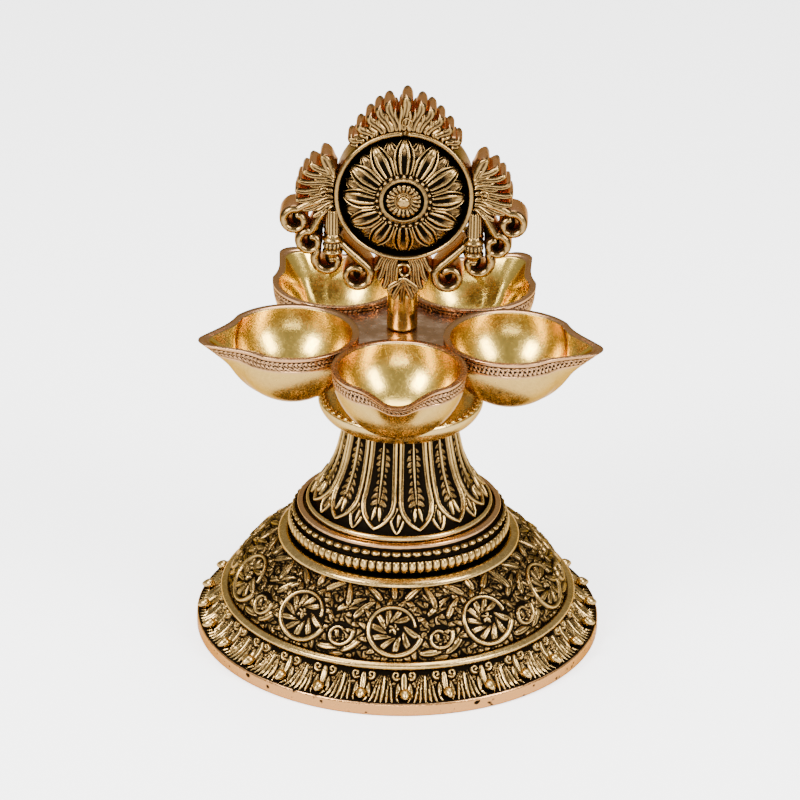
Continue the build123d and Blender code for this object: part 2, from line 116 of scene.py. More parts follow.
def bead_ring(turn, count, sharpness, row, start, end, half_width):
    """A ring of beads in the rows of an outline from start up to end."""
    return ripples(turn, count, sharpness) * cord(row - (start + end - 1) / 2, half_width)


def run_length(points):
    return float(np.linalg.norm(np.diff(points, axis=0), axis=1).sum())


def newest(name):
    piece = bpy.context.active_object
    piece.name = name
    piece.data.name = name
    return piece


def places_of(piece):
    """Every vertex of a piece, as rows of x, y and z."""
    flat = np.zeros(len(piece.data.vertices) * 3, np.float32)
    piece.data.vertices.foreach_get("co", flat)
    return flat.reshape(-1, 3).astype(float)


def set_shape(piece, places, relief_and_shade, blush=0.0):
    """Moves every vertex to its place and stores how high and how pink the metal is there. A low
    height is also used to paint shade on pieces that stand in for shaded gaps.
    """
    mesh = piece.data
    mesh.vertices.foreach_set("co", (places * METRE).astype(np.float32).ravel())
    for name, values in (("relief_and_shade", relief_and_shade), ("blush", blush)):
        layer = mesh.attributes.get(name) or mesh.attributes.new(name, "FLOAT", "POINT")
        layer.data.foreach_set("value", np.broadcast_to(values, len(places)).astype(np.float32))
    mesh.update()


def rolled_ring(name, around, count):
    """A flat grid to be rolled into a ring, with each vertex's step round it and its corner."""
    bpy.ops.mesh.primitive_grid_add(x_subdivisions=around, y_subdivisions=count, size=2)
    piece = newest(name)
    flat = places_of(piece)
    step = np.rint((flat[:, 0] + 1) / 2 * around).astype(int) % around
    corner = np.rint((flat[:, 1] + 1) / 2 * count).astype(int) % count
    return piece, step, corner


def close_seams():
    """Merges the seams of the active piece and turns its faces outwards."""
    bpy.ops.object.mode_set(mode="EDIT")
    bpy.ops.mesh.select_all(action="SELECT")
    bpy.ops.mesh.remove_doubles(threshold=0.000001)
    bpy.ops.mesh.normals_make_consistent(inside=False)
    bpy.ops.object.mode_set(mode="OBJECT")
    bpy.ops.object.shade_smooth()


balls = {}


def ball(name, segments, rings):
    """A ball to be shaped. One of each kind is modelled, and the others are copies of it."""
    if (segments, rings) not in balls:
        bpy.ops.mesh.primitive_uv_sphere_add(segments=segments, ring_count=rings)
        pattern = newest("pattern_ball")
        bpy.ops.object.shade_smooth()
        balls[segments, rings] = pattern.data.copy()
        bpy.data.objects.remove(pattern)
    piece = bpy.data.objects.new(name, balls[segments, rings].copy())
    bpy.context.scene.collection.objects.link(piece)
    return piece


def turned(name, outer, inner, around, relief_and_shade=None, depth=1.0, level=0.8, blush=None, tilt=None):
    """A closed ring. The outer line carries the relief and the inner line is plain.

    outer and inner are (radius, height) rows, listed upwards outside and downwards inside.
    relief_and_shade gives 0 to 1 from the turn and the share of the way along the outer line: how
    high the surface is, and near 0 where shade is painted.
    """
    section = np.vstack([outer, inner])
    count = len(section)
    piece, step, corner = rolled_ring(name, around, count)
    way = np.gradient(outer, axis=0)
    way /= np.linalg.norm(way, axis=1)[:, None]
    outward = np.column_stack([way[:, 1], -way[:, 0]])
    turn = np.arange(around) * TAU / around
    share = np.linspace(0, 1, len(outer))
    radius = np.tile(section[:, 0], (around, 1))
    height = np.tile(section[:, 1], (around, 1))
    high = np.full((around, count), level)
    if relief_and_shade is not None:
        raised = relief_and_shade(turn[:, None], share[None, :])
        high[:, :len(outer)] = raised
        radius[:, :len(outer)] += (raised - 1) * depth * outward[:, 0]
        height[:, :len(outer)] += (raised - 1) * depth * outward[:, 1]
    pink = np.zeros((around, count))
    if blush is not None:
        pink[:, :len(outer)] = blush(share)[None, :]
    places = np.stack(
        [radius * np.cos(turn)[:, None], radius * np.sin(turn)[:, None], height], axis=2
    )[step, corner]
    if tilt is not None:
        places = tilt(places)
    set_shape(piece, places, high[step, corner], pink[step, corner])
    close_seams()
    return piece


def about_axis(places, angle):
    """Places turned about the lamp's axis."""
    x, y, z = places.T
    return np.column_stack([
        x * math.cos(angle) - y * math.sin(angle), x * math.sin(angle) + y * math.cos(angle), z
    ])


def facing(side, base):
    """Stands a shape turned about Z off the disc by base: side -1 is the front, 1 the back."""
    def stand(places):
        x, y, z = (places + (0, 0, base)).T
        return np.column_stack([-side * x, side * z, DISC_Z + y])
    return stand


def join(name, pieces):
    bpy.ops.object.select_all(action="DESELECT")
    for piece in pieces:
        piece.select_set(True)
    bpy.context.view_layer.objects.active = pieces[0]
    if len(pieces) > 1:
        bpy.ops.object.join()
    whole = newest(name)
    bpy.ops.object.select_all(action="DESELECT")
    return whole


# ---- Chased ornament -----------------------------------------------------------------
class Chasing:
    """Ornament raised on a flat strip, x along it and y up it, that repeats every pitch.

    Each stroke is laid over the last with a narrow sunk line round it, as a chaser cuts it.
    """
    MOAT = 0.32

    def __init__(self, x, y, pitch):
        self.x, self.y, self.pitch = x, y, pitch
        self.height = np.zeros_like(x)

    def from_place(self, at):
        dx = np.mod(self.x - at[0] + self.pitch / 2, self.pitch) - self.pitch / 2
        return dx, self.y - at[1]

    def lay(self, raised, cover):
        self.height = np.where(cover, raised, self.height)

    def clear(self, at, reach):
        """Sinks the ground inside a circle."""
        dx, dy = self.from_place(at)
        self.lay(0.0, np.hypot(dx, dy) < reach)

    def leaf(self, at, angle, length, width, tone=1.0, vein=0.4, bend=0.0):
        """A pointed leaf that starts at a place and runs along an angle in degrees."""
        dx, dy = self.from_place(at)
        way = math.radians(angle)
        along = (dx * math.cos(way) + dy * math.sin(way)) / length
        across = -dx * math.sin(way) + dy * math.cos(way)
        inside = np.clip(along, 0, 1)
        across = across - bend * length * inside ** 2
        half = width * np.sin(math.pi * inside ** 0.75) ** 0.75 + 1e-6
        held = (along > 0) & (along < 1)
        raised = cord(across, half) * (1 - vein * np.exp(-(across / (0.2 * width)) ** 2))
        self.lay(tone * raised * held, held & (np.abs(across) < half + self.MOAT))

    def scroll(self, at, start_r, end_r, start, sweep, width, hand=1, tone=1.0):
        """A tapering stem that winds in from start_r to end_r."""
        dx, dy = self.from_place(at)
        reach = np.hypot(dx, dy)
        turn = np.arctan2(dy, dx * hand)
        for lap in range(3):
            wound = np.mod(turn - math.radians(start), TAU) + lap * TAU
            share = wound / math.radians(sweep)
            off = np.abs(reach - start_r - (end_r - start_r) * share)
            half = width * (1 - 0.5 * np.clip(share, 0, 1))
            self.lay(tone * cord(off, half), (share <= 1) & (off < half + self.MOAT))


def on_scroll(at, start_r, end_r, start, sweep, share, hand=1):
    """A place on a scroll's stem, and the direction from there to its middle in degrees."""
    turn = math.radians(start + sweep * share)
    reach = start_r + (end_r - start_r) * share
    x, y = at[0] + hand * reach * math.cos(turn), at[1] + reach * math.sin(turn)
    return (x, y), math.degrees(math.atan2(at[1] - y, at[0] - x))


def strip_of(turn, share, line, repeats, run, evenness=0.0):
    """The flat strip that one repeat of a ring unrolls to."""
    columns = turn.shape[0] // repeats
    sector = TAU / repeats
    local = (np.arange(columns) + 0.5) / columns * sector - sector / 2
    reach = np.interp(share[0], np.linspace(0, 1, len(line)), line[:, 0])
    reach = reach * (1 - evenness) + reach.mean() * evenness
    x = local[:, None] * reach[None, :]
    y = np.broadcast_to(share * run, x.shape)
    return Chasing(x, y, np.broadcast_to(sector * reach[None, :], x.shape))


# ---- Base: foot, palmette border, ridge and scroll dome ------------------------------
WALL = 2.6
BORDER_LINE = ((60.9, 4.3), (58.0, 5.7), (55.0, 8.5), (53.8, 11.0), (53.5, 11.6))
DOME_LINE = (
    (52.4, 13.3), (51.6, 15.5), (49.6, 19.5), (46.4, 23.6),
    (42.6, 27.0), (38.4, 29.6), (36.4, 30.6),
)
DOME_REPEATS = 10
DOME_STEPS = 86
dome_outer = curve_through(DOME_LINE, DOME_STEPS)
DOME_RUN = run_length(dome_outer)
SCROLL_AT = (0.0, 10.2)
SCROLL_R = 8.6
# A scroll's middle, first and last radius, and start and sweep in degrees.
SCROLL = (SCROLL_AT, SCROLL_R, 6.4, 200, 335)
SMALL_SCROLL = ((13.6, 7.2), 4.2, 1.6, 160, 330)
FOLIAGE_SEED = 11
LEAF_SPACING = 3.4
LEAVES_ROUND = 9
LEAVES_FROM = -15.4
LEAF_PITCH = -2 * LEAVES_FROM / LEAVES_ROUND
# Long leaves that sweep from one scroll to the next: start, angle, length and bend.
LONG_LEAVES = (
    ((-15.2, 2.0), 30, 10.0, 0.25), ((-12.4, 12.4), 60, 9.5, -0.28),
    ((7.6, 2.6), -6, 8.0, 0.22), ((10.4, 14.0), 50, 9.5, -0.25),
    ((-4.0, 19.2), 122, 7.0, 0.3), ((3.4, 19.4), 56, 7.0, -0.3),
    ((-15.0, 16.0), 80, 9.0, 0.3), ((0.0, 20.0), 88, 6.4, 0.2),
)


def dome_relief(turn, share):
    """One repeat of the foliage: scattered leaves, long leaves and two scrolls.

    The ground inside each scroll is sunk before its inner leaves and its stem are laid.
    """
    strip = strip_of(turn, share, dome_outer, DOME_REPEATS, DOME_RUN, evenness=0.5)
    chance = random.Random(FOLIAGE_SEED)
    rows = int(DOME_RUN / LEAF_SPACING) + 1
    for row in range(rows):
        for place in range(LEAVES_ROUND):
            at = (
                LEAVES_FROM + LEAF_PITCH * (place + row % 2 / 2) + chance.uniform(-0.5, 0.5),
                0.2 + LEAF_SPACING * row + chance.uniform(-0.4, 0.4),
            )
            flow = 80 + 70 * math.sin(0.41 * at[0] + 0.33 * at[1]) + chance.uniform(-25, 25)
            size = chance.uniform(0.85, 1.15)
            for lobe in (-44, 44, 0):
                strip.leaf(at, flow + lobe, (5.0 - 0.03 * abs(lobe)) * size, 1.0 * size,
                           0.8 - 0.005 * abs(lobe), bend=0.006 * lobe)
    for start, angle, length, bend in LONG_LEAVES:
        for side in (-1, 1):
            strip.leaf(start, angle + side * 13, 0.7 * length, 0.95, 0.8, bend=bend + side * 0.1)
        strip.leaf(start, angle, length, 1.25, 1.0, bend=bend)
    strip.clear(SMALL_SCROLL[0], 3.8)
    for i in range(7):
        at, inward = on_scroll(*SMALL_SCROLL, i / 8, -1)
        strip.leaf(at, inward - 8, 3.4, 0.8, 0.95, bend=-0.24)
    strip.scroll(*SMALL_SCROLL, 0.8, -1)
    for i in range(13):
        at, inward = on_scroll(*SCROLL, i / 13, -1)
        strip.leaf(at, inward + 128, 3.8, 1.0, 0.85, bend=0.3)
    strip.clear(SCROLL_AT, SCROLL_R - 0.8)
    for i in range(10):
        at, inward = on_scroll(*SCROLL, i / 10, -1)
        strip.leaf(at, inward - 4, 6.6 - 0.12 * i, 1.1, 1.0 - 0.1 * (i % 2), bend=-0.24)
    strip.scroll(*SCROLL, 0.95, -1)
    for i in range(5):
        strip.leaf(SCROLL_AT, 72 * i, 1.8, 0.7, 0.95, vein=0.0)
    edge = ease(0.0, 0.5, strip.y) * ease(0.0, 0.5, DOME_RUN - strip.y)
    return np.tile(strip.height * edge, (DOME_REPEATS, 1))


BORDER_REPEATS = 28
BORDER_TURN = math.radians(-2.8)
BORDER_STEPS = 44
border_outer = curve_through(BORDER_LINE, BORDER_STEPS)
BORDER_RUN = run_length(border_outer)


def border_relief(turn, share):
    """One repeat of the border: a lobed bud with two curls between halves of two fan shells."""
    strip = strip_of(turn, share, border_outer, BORDER_REPEATS, BORDER_RUN)
    half = strip.pitch.mean() / 2
    for rib in (-3, 3, -2, 2, -1, 1, 0):
        strip.leaf((half + 0.42 * rib, 9.0), -90 + 8.5 * rib, 11.4 - 0.3 * abs(rib), 0.8,
                   1.0, vein=0.0)
    for side in (-1, 1):
        strip.leaf((side * 0.6, 6.2), -90 + side * 52, 3.6, 0.95, 0.85)
        strip.leaf((side * 0.9, 8.0), -90 + side * 62, 3.2, 0.9, 0.9)
        strip.leaf((side * 1.3, 7.2), -90 + side * 12, 5.2, 0.95, 0.95, vein=0.2)
        strip.scroll((side * 2.3, 9.0), 1.25, 0.3, 250, 400, 0.55, side)
    strip.leaf((0, 9.8), -90, 7.4, 1.15, 1.0, vein=0.3)
    return np.tile(strip.height * ease(0.0, 0.3, BORDER_RUN - strip.y), (BORDER_REPEATS, 1))


def inside_of(outer, wall):
    """The plain inner line of a ring, listed downwards."""
    back = outer[::-6].copy()
    back[:, 0] -= wall
    back[:, 1] -= wall * 0.4
    return back


dome = turned(
    "dome_scrolls", dome_outer, inside_of(dome_outer, WALL), 900, dome_relief, depth=1.15
)
border = turned(
    "border_palmettes", border_outer, inside_of(border_outer, WALL), 1120, border_relief,
    depth=1.25, tilt=lambda places: about_axis(places, BORDER_TURN),
)
ridge_outer = curve_through(((53.2, 11.2), (54.1, 11.9), (54.0, 12.9), (52.9, 13.6)), 14)
ridge = turned("dome_ridge", ridge_outer, np.array([[50.5, 12.6], [50.9, 11.6]]), 256, level=0.9)
rim_outer = np.vstack([
    curve_through(((36.9, 30.2), (36.5, 31.4), (35.0, 32.2), (33.6, 32.0)), 12),
    [[33.2, 31.5], [28.5, 31.5]],
])
# The flat ring on the rim's inner edge closes the gap under the collar. It is coloured near black,
# which is painted shade in that gap.
top_rim = turned(
    "dome_top_rim", rim_outer, np.array([[28.5, 30.4], [34.4, 29.4]]), 220,
    lambda turn, share: np.where(share > 0.8, 0.05, 0.9) + 0 * turn, depth=0.01,
)
FOOT_H = 4.3
foot_outer = np.vstack([
    [[FOOT_R - 0.5, 0.0]],
    curve_through(((FOOT_R, 0.5), (FOOT_R, 2.0), (FOOT_R - 0.05, FOOT_H - 0.6)), 8),
    [[FOOT_R - 0.5, FOOT_H]],
    [[58.0, FOOT_H + 0.5]],
])
foot_inner = np.array([[57.4, 3.4], [56.5, 0.0], [58.6, 0.0]])
LEDGE_FROM = 0.84
CHIP_SEED = 5
CHIPS = 240


def foot_relief(turn, share):
    """Bright but for pits and the ledge behind the buds, which is black."""
    high = np.where(share > LEDGE_FROM, 0.08, 0.9) + 0 * turn
    chance = random.Random(CHIP_SEED)
    for _ in range(CHIPS):
        at, row, size = chance.uniform(0, TAU), chance.uniform(0.1, 0.8), chance.uniform(0.35, 1.1)
        round_off = (np.mod(turn - at + math.pi, TAU) - math.pi) * FOOT_R
        off = np.hypot(round_off, (share - row) * 5.0)
        high = high - 0.75 * size * np.exp(-(off / (0.7 * size)) ** 2)
    return np.clip(high, 0.05, 1)


foot = turned(
    "foot_rim", foot_outer, foot_inner, 720, foot_relief, depth=0.05,
    blush=lambda share: (share < LEDGE_FROM).astype(float),
)


ACORN_Z = 6.3
ACORN_R = 57.9
ACORN_LEAN = math.radians(96)


def acorn_places(unit):
    """A small pointed bud on the border's X side, leaning outwards, from a ball's places."""
    along = (unit[:, 2] + 1) / 2
    girth = np.hypot(unit[:, 0], unit[:, 1]) * (1.75 - 0.95 * along)
    turn = np.arctan2(unit[:, 1], unit[:, 0])
    wide, thick = 1.2 * girth * np.cos(turn), 1.2 * girth * np.sin(turn)
    rise = -0.6 + 4.1 * along ** 0.92
    return np.column_stack([
        ACORN_R + (thick * math.cos(ACORN_LEAN) + rise * math.sin(ACORN_LEAN)),
        wide,
        ACORN_Z + (rise * math.cos(ACORN_LEAN) - thick * math.sin(ACORN_LEAN)),
    ])


buds = []
for i in range(BORDER_REPEATS):
    bud = ball("acorn", 14, 12)
    turn = (i + 0.5) * TAU / BORDER_REPEATS + BORDER_TURN
    set_shape(bud, about_axis(acorn_places(places_of(bud)), turn), 0.9, 0.15)
    buds.append(bud)
acorns = join("border_acorns", buds)

# ---- Collar: neck groove, reeds, beads, flat shoulder and lip ------------------------
REEDS = 84
BEADS = 64
collar_outer, collar_ends = outline(
    (((31.2, 31.7), (31.7, 32.4), (32.3, 33.0)), 7),
    (((33.1, 32.7), (33.8, 35.0), (33.1, 37.3)), 22),
    (((32.4, 37.7), (32.7, 38.9), (32.1, 40.1)), 18),
    (((31.0, 40.6), (30.8, 41.3), (29.7, 41.55), (28.9, 41.55)), 10),
    (((28.7, 41.1), (28.5, 41.2), (28.3, 42.4), (27.8, 42.9), (27.4, 42.9)), 14),
)
NECK_END, REEDS_END, BEADS_END, SHOULDER_END = collar_ends[:4]
PINK_ROW = BEADS_END + 4
PINK_ROWS = 5


def collar_relief(turn, share):
    row = share * (len(collar_outer) - 1)
    reed = ripples(turn, REEDS, 0.4)
    reed = reed * ease(NECK_END - 0.5, NECK_END + 2.5, row) * ease(0.5, 3.5, REEDS_END - row)
    bead = bead_ring(turn, BEADS, 0.6, row, REEDS_END, BEADS_END, 8.2)
    groove = np.exp(-((row - SHOULDER_END + 0.2) / 1.3) ** 2)
    plain = 1 - 0.95 * groove + 0 * turn
    return np.select(
        [row < NECK_END + 0 * turn, row < REEDS_END + 0 * turn, row < BEADS_END + 0 * turn],
        [0.25 + 0 * reed, reed, bead], plain,
    )


collar = turned(
    "collar_mouldings", collar_outer, np.array([[27.45, 42.0], [20.0, 42.0], [20.0, 31.8]]),
    1008, collar_relief, depth=0.9,
    blush=lambda share: 0.7 * (np.abs(share * (len(collar_outer) - 1) - PINK_ROW) < PINK_ROWS),
)

# ---- Stem: twelve framed leaf panels, twelve small leaves between their tips ---------
STEM_LINE = (
    (27.3, 42.4), (26.6, 44.6), (25.0, 47.2), (23.0, 50.4), (21.0, 54.2),
    (19.4, 58.5), (18.3, 63.0), (17.6, 66.5), (17.3, 69.5),
)
STEM_PANELS = 12
STEM_STEPS = 118
PANEL_FOOT = 1.3
stem_outer = curve_through(STEM_LINE, STEM_STEPS)
STEM_RUN = run_length(stem_outer)


def stem_relief(turn, share):
    """One repeat: half of two small leaves, and a framed panel with an acanthus leaf in it."""
    strip = strip_of(turn, share, stem_outer, STEM_PANELS, STEM_RUN)
    x, y, pitch = strip.x, strip.y, strip.pitch
    half_pitch = pitch[:, :8].mean() / 2
    gap = np.mod(x, pitch) - pitch / 2
    arch = 2.6 * np.sqrt(np.clip((y - 0.6) / 4.2, 0, 1)) * (1 - 0.85 * ease(4.0, 10.0, y))
    strip.lay(0.95 * cord(np.abs(gap) - arch + 0.6, 0.6), (np.abs(gap) < arch + 0.2) & (y > 0.5))
    strip.leaf((half_pitch, 8.2), -90, 5.4, 0.85, 0.8, vein=0.0)
    rise = np.clip((y - PANEL_FOOT) / 9.5, 0, 1)
    edge = 0.485 * pitch * np.sin(rise * math.pi / 2) ** 0.72
    inside = np.abs(x)
    panel = (inside < edge + strip.MOAT) & (y > PANEL_FOOT - 0.2)
    line = 0.55 + 0.75 * np.exp(-((y - PANEL_FOOT) / 3.6) ** 2)
    frame_line = cord(inside - edge + line, line)
    inner_line = 0.75 * cord(inside - edge + 2 * line + 0.3, 0.26) * (y > PANEL_FOOT + 3.5)
    strip.lay(np.maximum(frame_line, inner_line), panel)
    for i in range(11):
        at = 26.5 - 1.95 * i
        size = 0.205 * np.interp(at / STEM_RUN, share[0], pitch[0])
        size = size * (0.86 + 0.22 * math.sin(1.1 * i))
        for side in (-1, 1):
            strip.leaf((side * 0.15, at), 90 - side * (180 - 38), 1.35 * size, 0.46 * size,
                       0.62 + 0.06 * (i % 3), vein=0.5, bend=0.2 * side)
    for side in (-1, 1):
        strip.leaf((side * 0.5, 8.8), -90 + side * 10, 4.6, 0.8, 1.0, vein=0.0)
    strip.leaf((0, STEM_RUN), -90, STEM_RUN - 8.5, 0.5, 0.95, vein=0.0)
    return np.tile(np.where(y < 0.5, 0.1, strip.height), (STEM_PANELS, 1))


stem = turned("stem_leaves", stem_outer, inside_of(stem_outer, WALL), 720, stem_relief, depth=1.0)

# ---- Drip dish: smooth saucer with beads on its edge ---------------------------------
DISH_LINE = (
    (17.2, 69.5), (20.5, 70.2), (23.0, 71.8), (24.6, 74.2), (24.95, 76.0), (24.4, 76.9),
)
dish_outer = curve_through(DISH_LINE, 30)
dish_inner = np.array([[23.5, 76.6], [22.9, 75.4], [21.0, 73.4], [17.0, 72.0], [15.8, 72.0],
                       [3.4, 72.0], [3.4, 69.55]])
dish = turned("dish_saucer", dish_outer, dish_inner, 240, level=0.92)
DISH_BEADS = 52
DISH_BEADS_R = 23.7
DISH_BEADS_Z = 76.7
bead_row = []
for i in range(DISH_BEADS):
    bead = ball("bead", 12, 8)
    turn = i * TAU / DISH_BEADS
    at = (DISH_BEADS_R * math.cos(turn), DISH_BEADS_R * math.sin(turn), DISH_BEADS_Z)
    set_shape(bead, places_of(bead) * (1.05, 1.05, 0.85) + at, 0.9)
    bead_row.append(bead)
dish_beads = join("dish_beads", bead_row)

# ---- Cups: a closed ball pushed in on itself, drawn out to a spout -------------------
CUP_COUNT = 5
CUP_R = 20.0
CUP_DEPTH = CUP_RIM_Z - cup_low[2]
CUP_SPREAD_R = 34.2
SPOUT_REACH = -cup_low[1] - CUP_SPREAD_R
SPOUT_TIP_R = 4.6
SPOUT_SLOPE = 1.15
CUP_WALL = 2.0
CUP_SEGMENTS = 320
CUP_RINGS = 112
SAG = 1.04
BOWL_DROP = 0.65
BAND_TOP = 1.1
BAND_FOOT = 4.3
BAND_PITCH = 2.9
BAND_LINE = 0.4


def cup_edge(turn, bowl_r, reach):
    """Distance from the bowl's middle to its edge: a circle drawn out to a blunt tip.

    The sides between circle and tip are slightly hollow.
    """
    tip_at = np.maximum(reach - SPOUT_TIP_R, bowl_r * 1.001 - SPOUT_TIP_R + 0.05)
    lean = np.arccos(np.clip((bowl_r - SPOUT_TIP_R) / tip_at, -1, 1))
    off = np.abs(turn)
    straight = bowl_r / np.cos(np.minimum(np.abs(off - lean), 1.4))
    tip_turn = np.arctan2(SPOUT_TIP_R * np.sin(lean), tip_at + SPOUT_TIP_R * np.cos(lean))
    blunt = tip_at * np.cos(off) + np.sqrt(
        np.clip(SPOUT_TIP_R ** 2 - (tip_at * np.sin(off)) ** 2, 0, None)
    )
    hollow_share = np.clip((off - tip_turn) / np.maximum(lean - tip_turn, 0.01), 0, 1)
    hollow = 1.1 * np.sin(math.pi * hollow_share) * np.clip((reach - bowl_r) / 6, 0, 1)
    edge = np.where(off > lean, bowl_r, straight - hollow)
    return np.where(off < tip_turn, blunt, edge)


def cup_wall_at(turn, share, shrink, floor):
    """A cup wall's edge and height, a share of the way down from the rim.

    shrink is how far the wall is in from the outer one, and floor how thick the bottom is.
    """
    depth = CUP_DEPTH - floor
    down = share * depth
    bowl_r = (CUP_R - shrink) * np.sqrt(np.clip(1 - (down / (depth * SAG)) ** 2, 0, 1))
    spout = SPOUT_REACH - 1.5 * shrink - SPOUT_SLOPE * down
    soft = 1.6
    reach = 0.5 * (spout + bowl_r * 1.04 + np.hypot(spout - bowl_r * 1.04, soft)) - 0.1
    return cup_edge(turn, bowl_r, reach), CUP_RIM_Z - down


def cup_band(run, down):
    """Height of the surface below the rim: two crossing waves, raised on a sunk band."""
    in_band = ease(BAND_TOP - 0.2, BAND_TOP + 0.2, down) * (
        1 - ease(BAND_FOOT - 0.3, BAND_FOOT, down)
    )
    middle = (BAND_TOP + BAND_FOOT) / 2
    wave = np.sin(run * TAU / BAND_PITCH)
    chain = np.maximum(
        cord(down - middle - wave, BAND_LINE), cord(down - middle + wave, BAND_LINE)
    )
    return 1 - in_band * (1 - chain) * 0.95


def run_along(turn, edge):
    """Length along a cup's edge from the back of the bowl."""
    order = np.argsort(turn)
    x, y = (edge * np.cos(turn))[order], (edge * np.sin(turn))[order]
    run = np.zeros(len(turn))
    run[order] = np.concatenate([[0], np.cumsum(np.hypot(np.diff(x), np.diff(y)))])
    return run


def cup_pattern(name):
    """The front cup. The others are copies of it, turned about the lamp's axis."""
    bpy.ops.mesh.primitive_uv_sphere_add(segments=CUP_SEGMENTS, ring_count=CUP_RINGS)
    piece = newest(name)
    count = len(piece.data.vertices)
    unit = places_of(piece)
    ring = np.rint((np.arcsin(np.clip(unit[:, 2], -1, 1)) / math.pi + 0.5) * CUP_RINGS)
    even = np.arctan2(unit[:, 1], unit[:, 0]) / math.pi
    turn = math.pi * np.sign(even) * np.abs(even) ** 1.3
    reach = np.zeros(count)
    height = np.zeros(count)
    relief_and_shade = np.full(count, 0.92)
    blush = np.zeros(count)
    floor_rings, wall_rings, rim_rings = 6, 62, 6
    outer_top = floor_rings + wall_rings
    inner_start = outer_top + rim_rings
    inner_rings = CUP_RINGS - inner_start - floor_rings
    low_edge, low_z = cup_wall_at(turn, 1.0, 0, 0)
    in_edge, in_z = cup_wall_at(turn, 1.0, CUP_WALL, CUP_WALL)
    for k in range(CUP_RINGS + 1):
        here = ring == k
        if k <= floor_rings:
            reach[here] = low_edge[here] * k / floor_rings
            height[here] = low_z - BOWL_DROP * (1 - (k / floor_rings) ** 2)
        elif k <= outer_top:
            up = (k - floor_rings) / wall_rings
            share = 1 - up ** 0.8 if k < outer_top else 0.0
            edge, z = cup_wall_at(turn[here], share, 0, 0)
            down = CUP_RIM_Z - z
            high = cup_band(run_along(turn[here], edge), down)
            reach[here] = edge - 0.4 * (1 - high)
            height[here] = z
            relief_and_shade[here] = np.minimum(0.92, high)
            blush[here] = 0.9 * (1 - ease(BAND_FOOT - 0.6, BAND_FOOT + 1.6, down))
        elif k <= inner_start:
            across = (k - outer_top) / rim_rings
            edge, z = cup_wall_at(turn[here], 0.0, across * CUP_WALL, 0)
            reach[here] = edge
            height[here] = z - 0.6 * abs(2 * across - 1) ** 2.4
            blush[here] = 1.0
        elif k <= inner_start + inner_rings:
            share = ((k - inner_start) / inner_rings) ** 1.15
            edge, z = cup_wall_at(turn[here], share, CUP_WALL, CUP_WALL)
            reach[here] = edge
            height[here] = z
            blush[here] = -1.0 if k > inner_start + 1 else 0.3
        else:
            near = (CUP_RINGS - k) / floor_rings
            reach[here] = in_edge[here] * near
            height[here] = in_z - BOWL_DROP * (1 - near ** 2)
            blush[here] = -1.0
    places = np.column_stack([
        reach * np.sin(turn), -CUP_SPREAD_R - reach * np.cos(turn), height
    ])
    set_shape(piece, places, relief_and_shade, blush)
    bpy.ops.object.shade_smooth()
    return piece


CUP_NODES = ("cup_front", "cup_right", "cup_back_right", "cup_back_left", "cup_left")
cups = [cup_pattern(f"{CUP_NODES[0]}_bowl")]
for index, node in enumerate(CUP_NODES[1:], start=1):
    copied = bpy.data.objects.new(f"{node}_bowl", cups[0].data.copy())
    copied.data.transform(Matrix.Rotation(TAU * index / CUP_COUNT, 4, "Z"))
    bpy.context.scene.collection.objects.link(copied)
    cups.append(copied)

# ---- Crest disc and flower -----------------------------------------------------------
ring_outer = curve_through(
    ((DISC_R, 0.9 - DISC_HALF_T), (DISC_R, 0.0), (DISC_R, DISC_HALF_T - 0.9)), 10
)
ring_back = np.array([
    [20.45, DISC_HALF_T - 0.25], [19.95, DISC_HALF_T], [19.4, DISC_HALF_T - 0.2],
    [19.1, DISC_HALF_T - 0.9], [19.1, 2.6], [1.3, 2.6],
])
ring_back = np.vstack([ring_back, ring_back[::-1] * (1, -1)])


def upright(places):
    """Stands the disc up, with a short notch in the top of its rim."""
    x, y, z = places.T
    notch = np.exp(-(x / 0.75) ** 2) * (y > 0) * ease(19.0, 19.4, np.hypot(x, y))
    sink = 1.6 * notch * np.sign(z) * (np.abs(z) > 3)
    return np.column_stack([x, -(z - sink), DISC_Z + y])


disc = turned("disc_rim", ring_outer, ring_back, 288, level=0.9, tilt=upright)
disc_places = places_of(disc) / METRE
off = np.hypot(disc_places[:, 0], disc_places[:, 2] - DISC_Z)
disc_level = np.where(off < 19.3, 0.02, np.where(np.abs(disc_places[:, 1]) < 5.2, 0.8, 0.84))
set_shape(disc, disc_places, disc_level, 0.1)

LOTUS_R = 18.6
LOTUS_PETALS = 12
LOTUS_BASE = 2.65
PETAL_FOOT = 6.0
flower_outer, flower_ends = outline(
    (((18.8, 0.8), (17.2, 3.2), (14.2, 5.0), (11.2, 6.0), (8.9, 6.5)), 74),
    (((8.7, 6.6), (7.8, 6.9), (7.1, 6.6)), 14),
    (((6.9, 6.5), (6.3, 6.6), (5.9, 6.4)), 6),
    (((5.6, 5.8), (3.0, 5.6), (1.3, 5.6)), 8),
)
PETALS_END, BOSS_BEADS_END, BOSS_RING_END = flower_ends[:3]


def petal_height(turn, reach, count, offset, tip, width):
    """Double-outlined petals with a slot up the middle."""
    sector = TAU / count
    local = np.mod(turn - offset + sector / 2, sector) - sector / 2
    across = np.abs(np.sin(local)) * reach
    along = np.cos(local) * reach
    share = np.clip((along - PETAL_FOOT) / (tip - PETAL_FOOT), 0, 1)
    half = width * np.sin(math.pi * share ** 1.2) ** 0.62 * (share < 1) + 1e-4
    half = np.minimum(half, 0.5 * reach * sector)
    inset = half - across
    spread = across / half
    outline = cord(spread - 0.85, 0.17)
    filled = ease(0.5, 0.85, share)
    inner = 0.95 * np.maximum(cord(spread - 0.38, 0.24), cord(spread, 0.5) * filled)
    floor_level = 0.06 + 0 * inset
    return np.maximum.reduce([outline, inner, floor_level]) * (inset > 0)


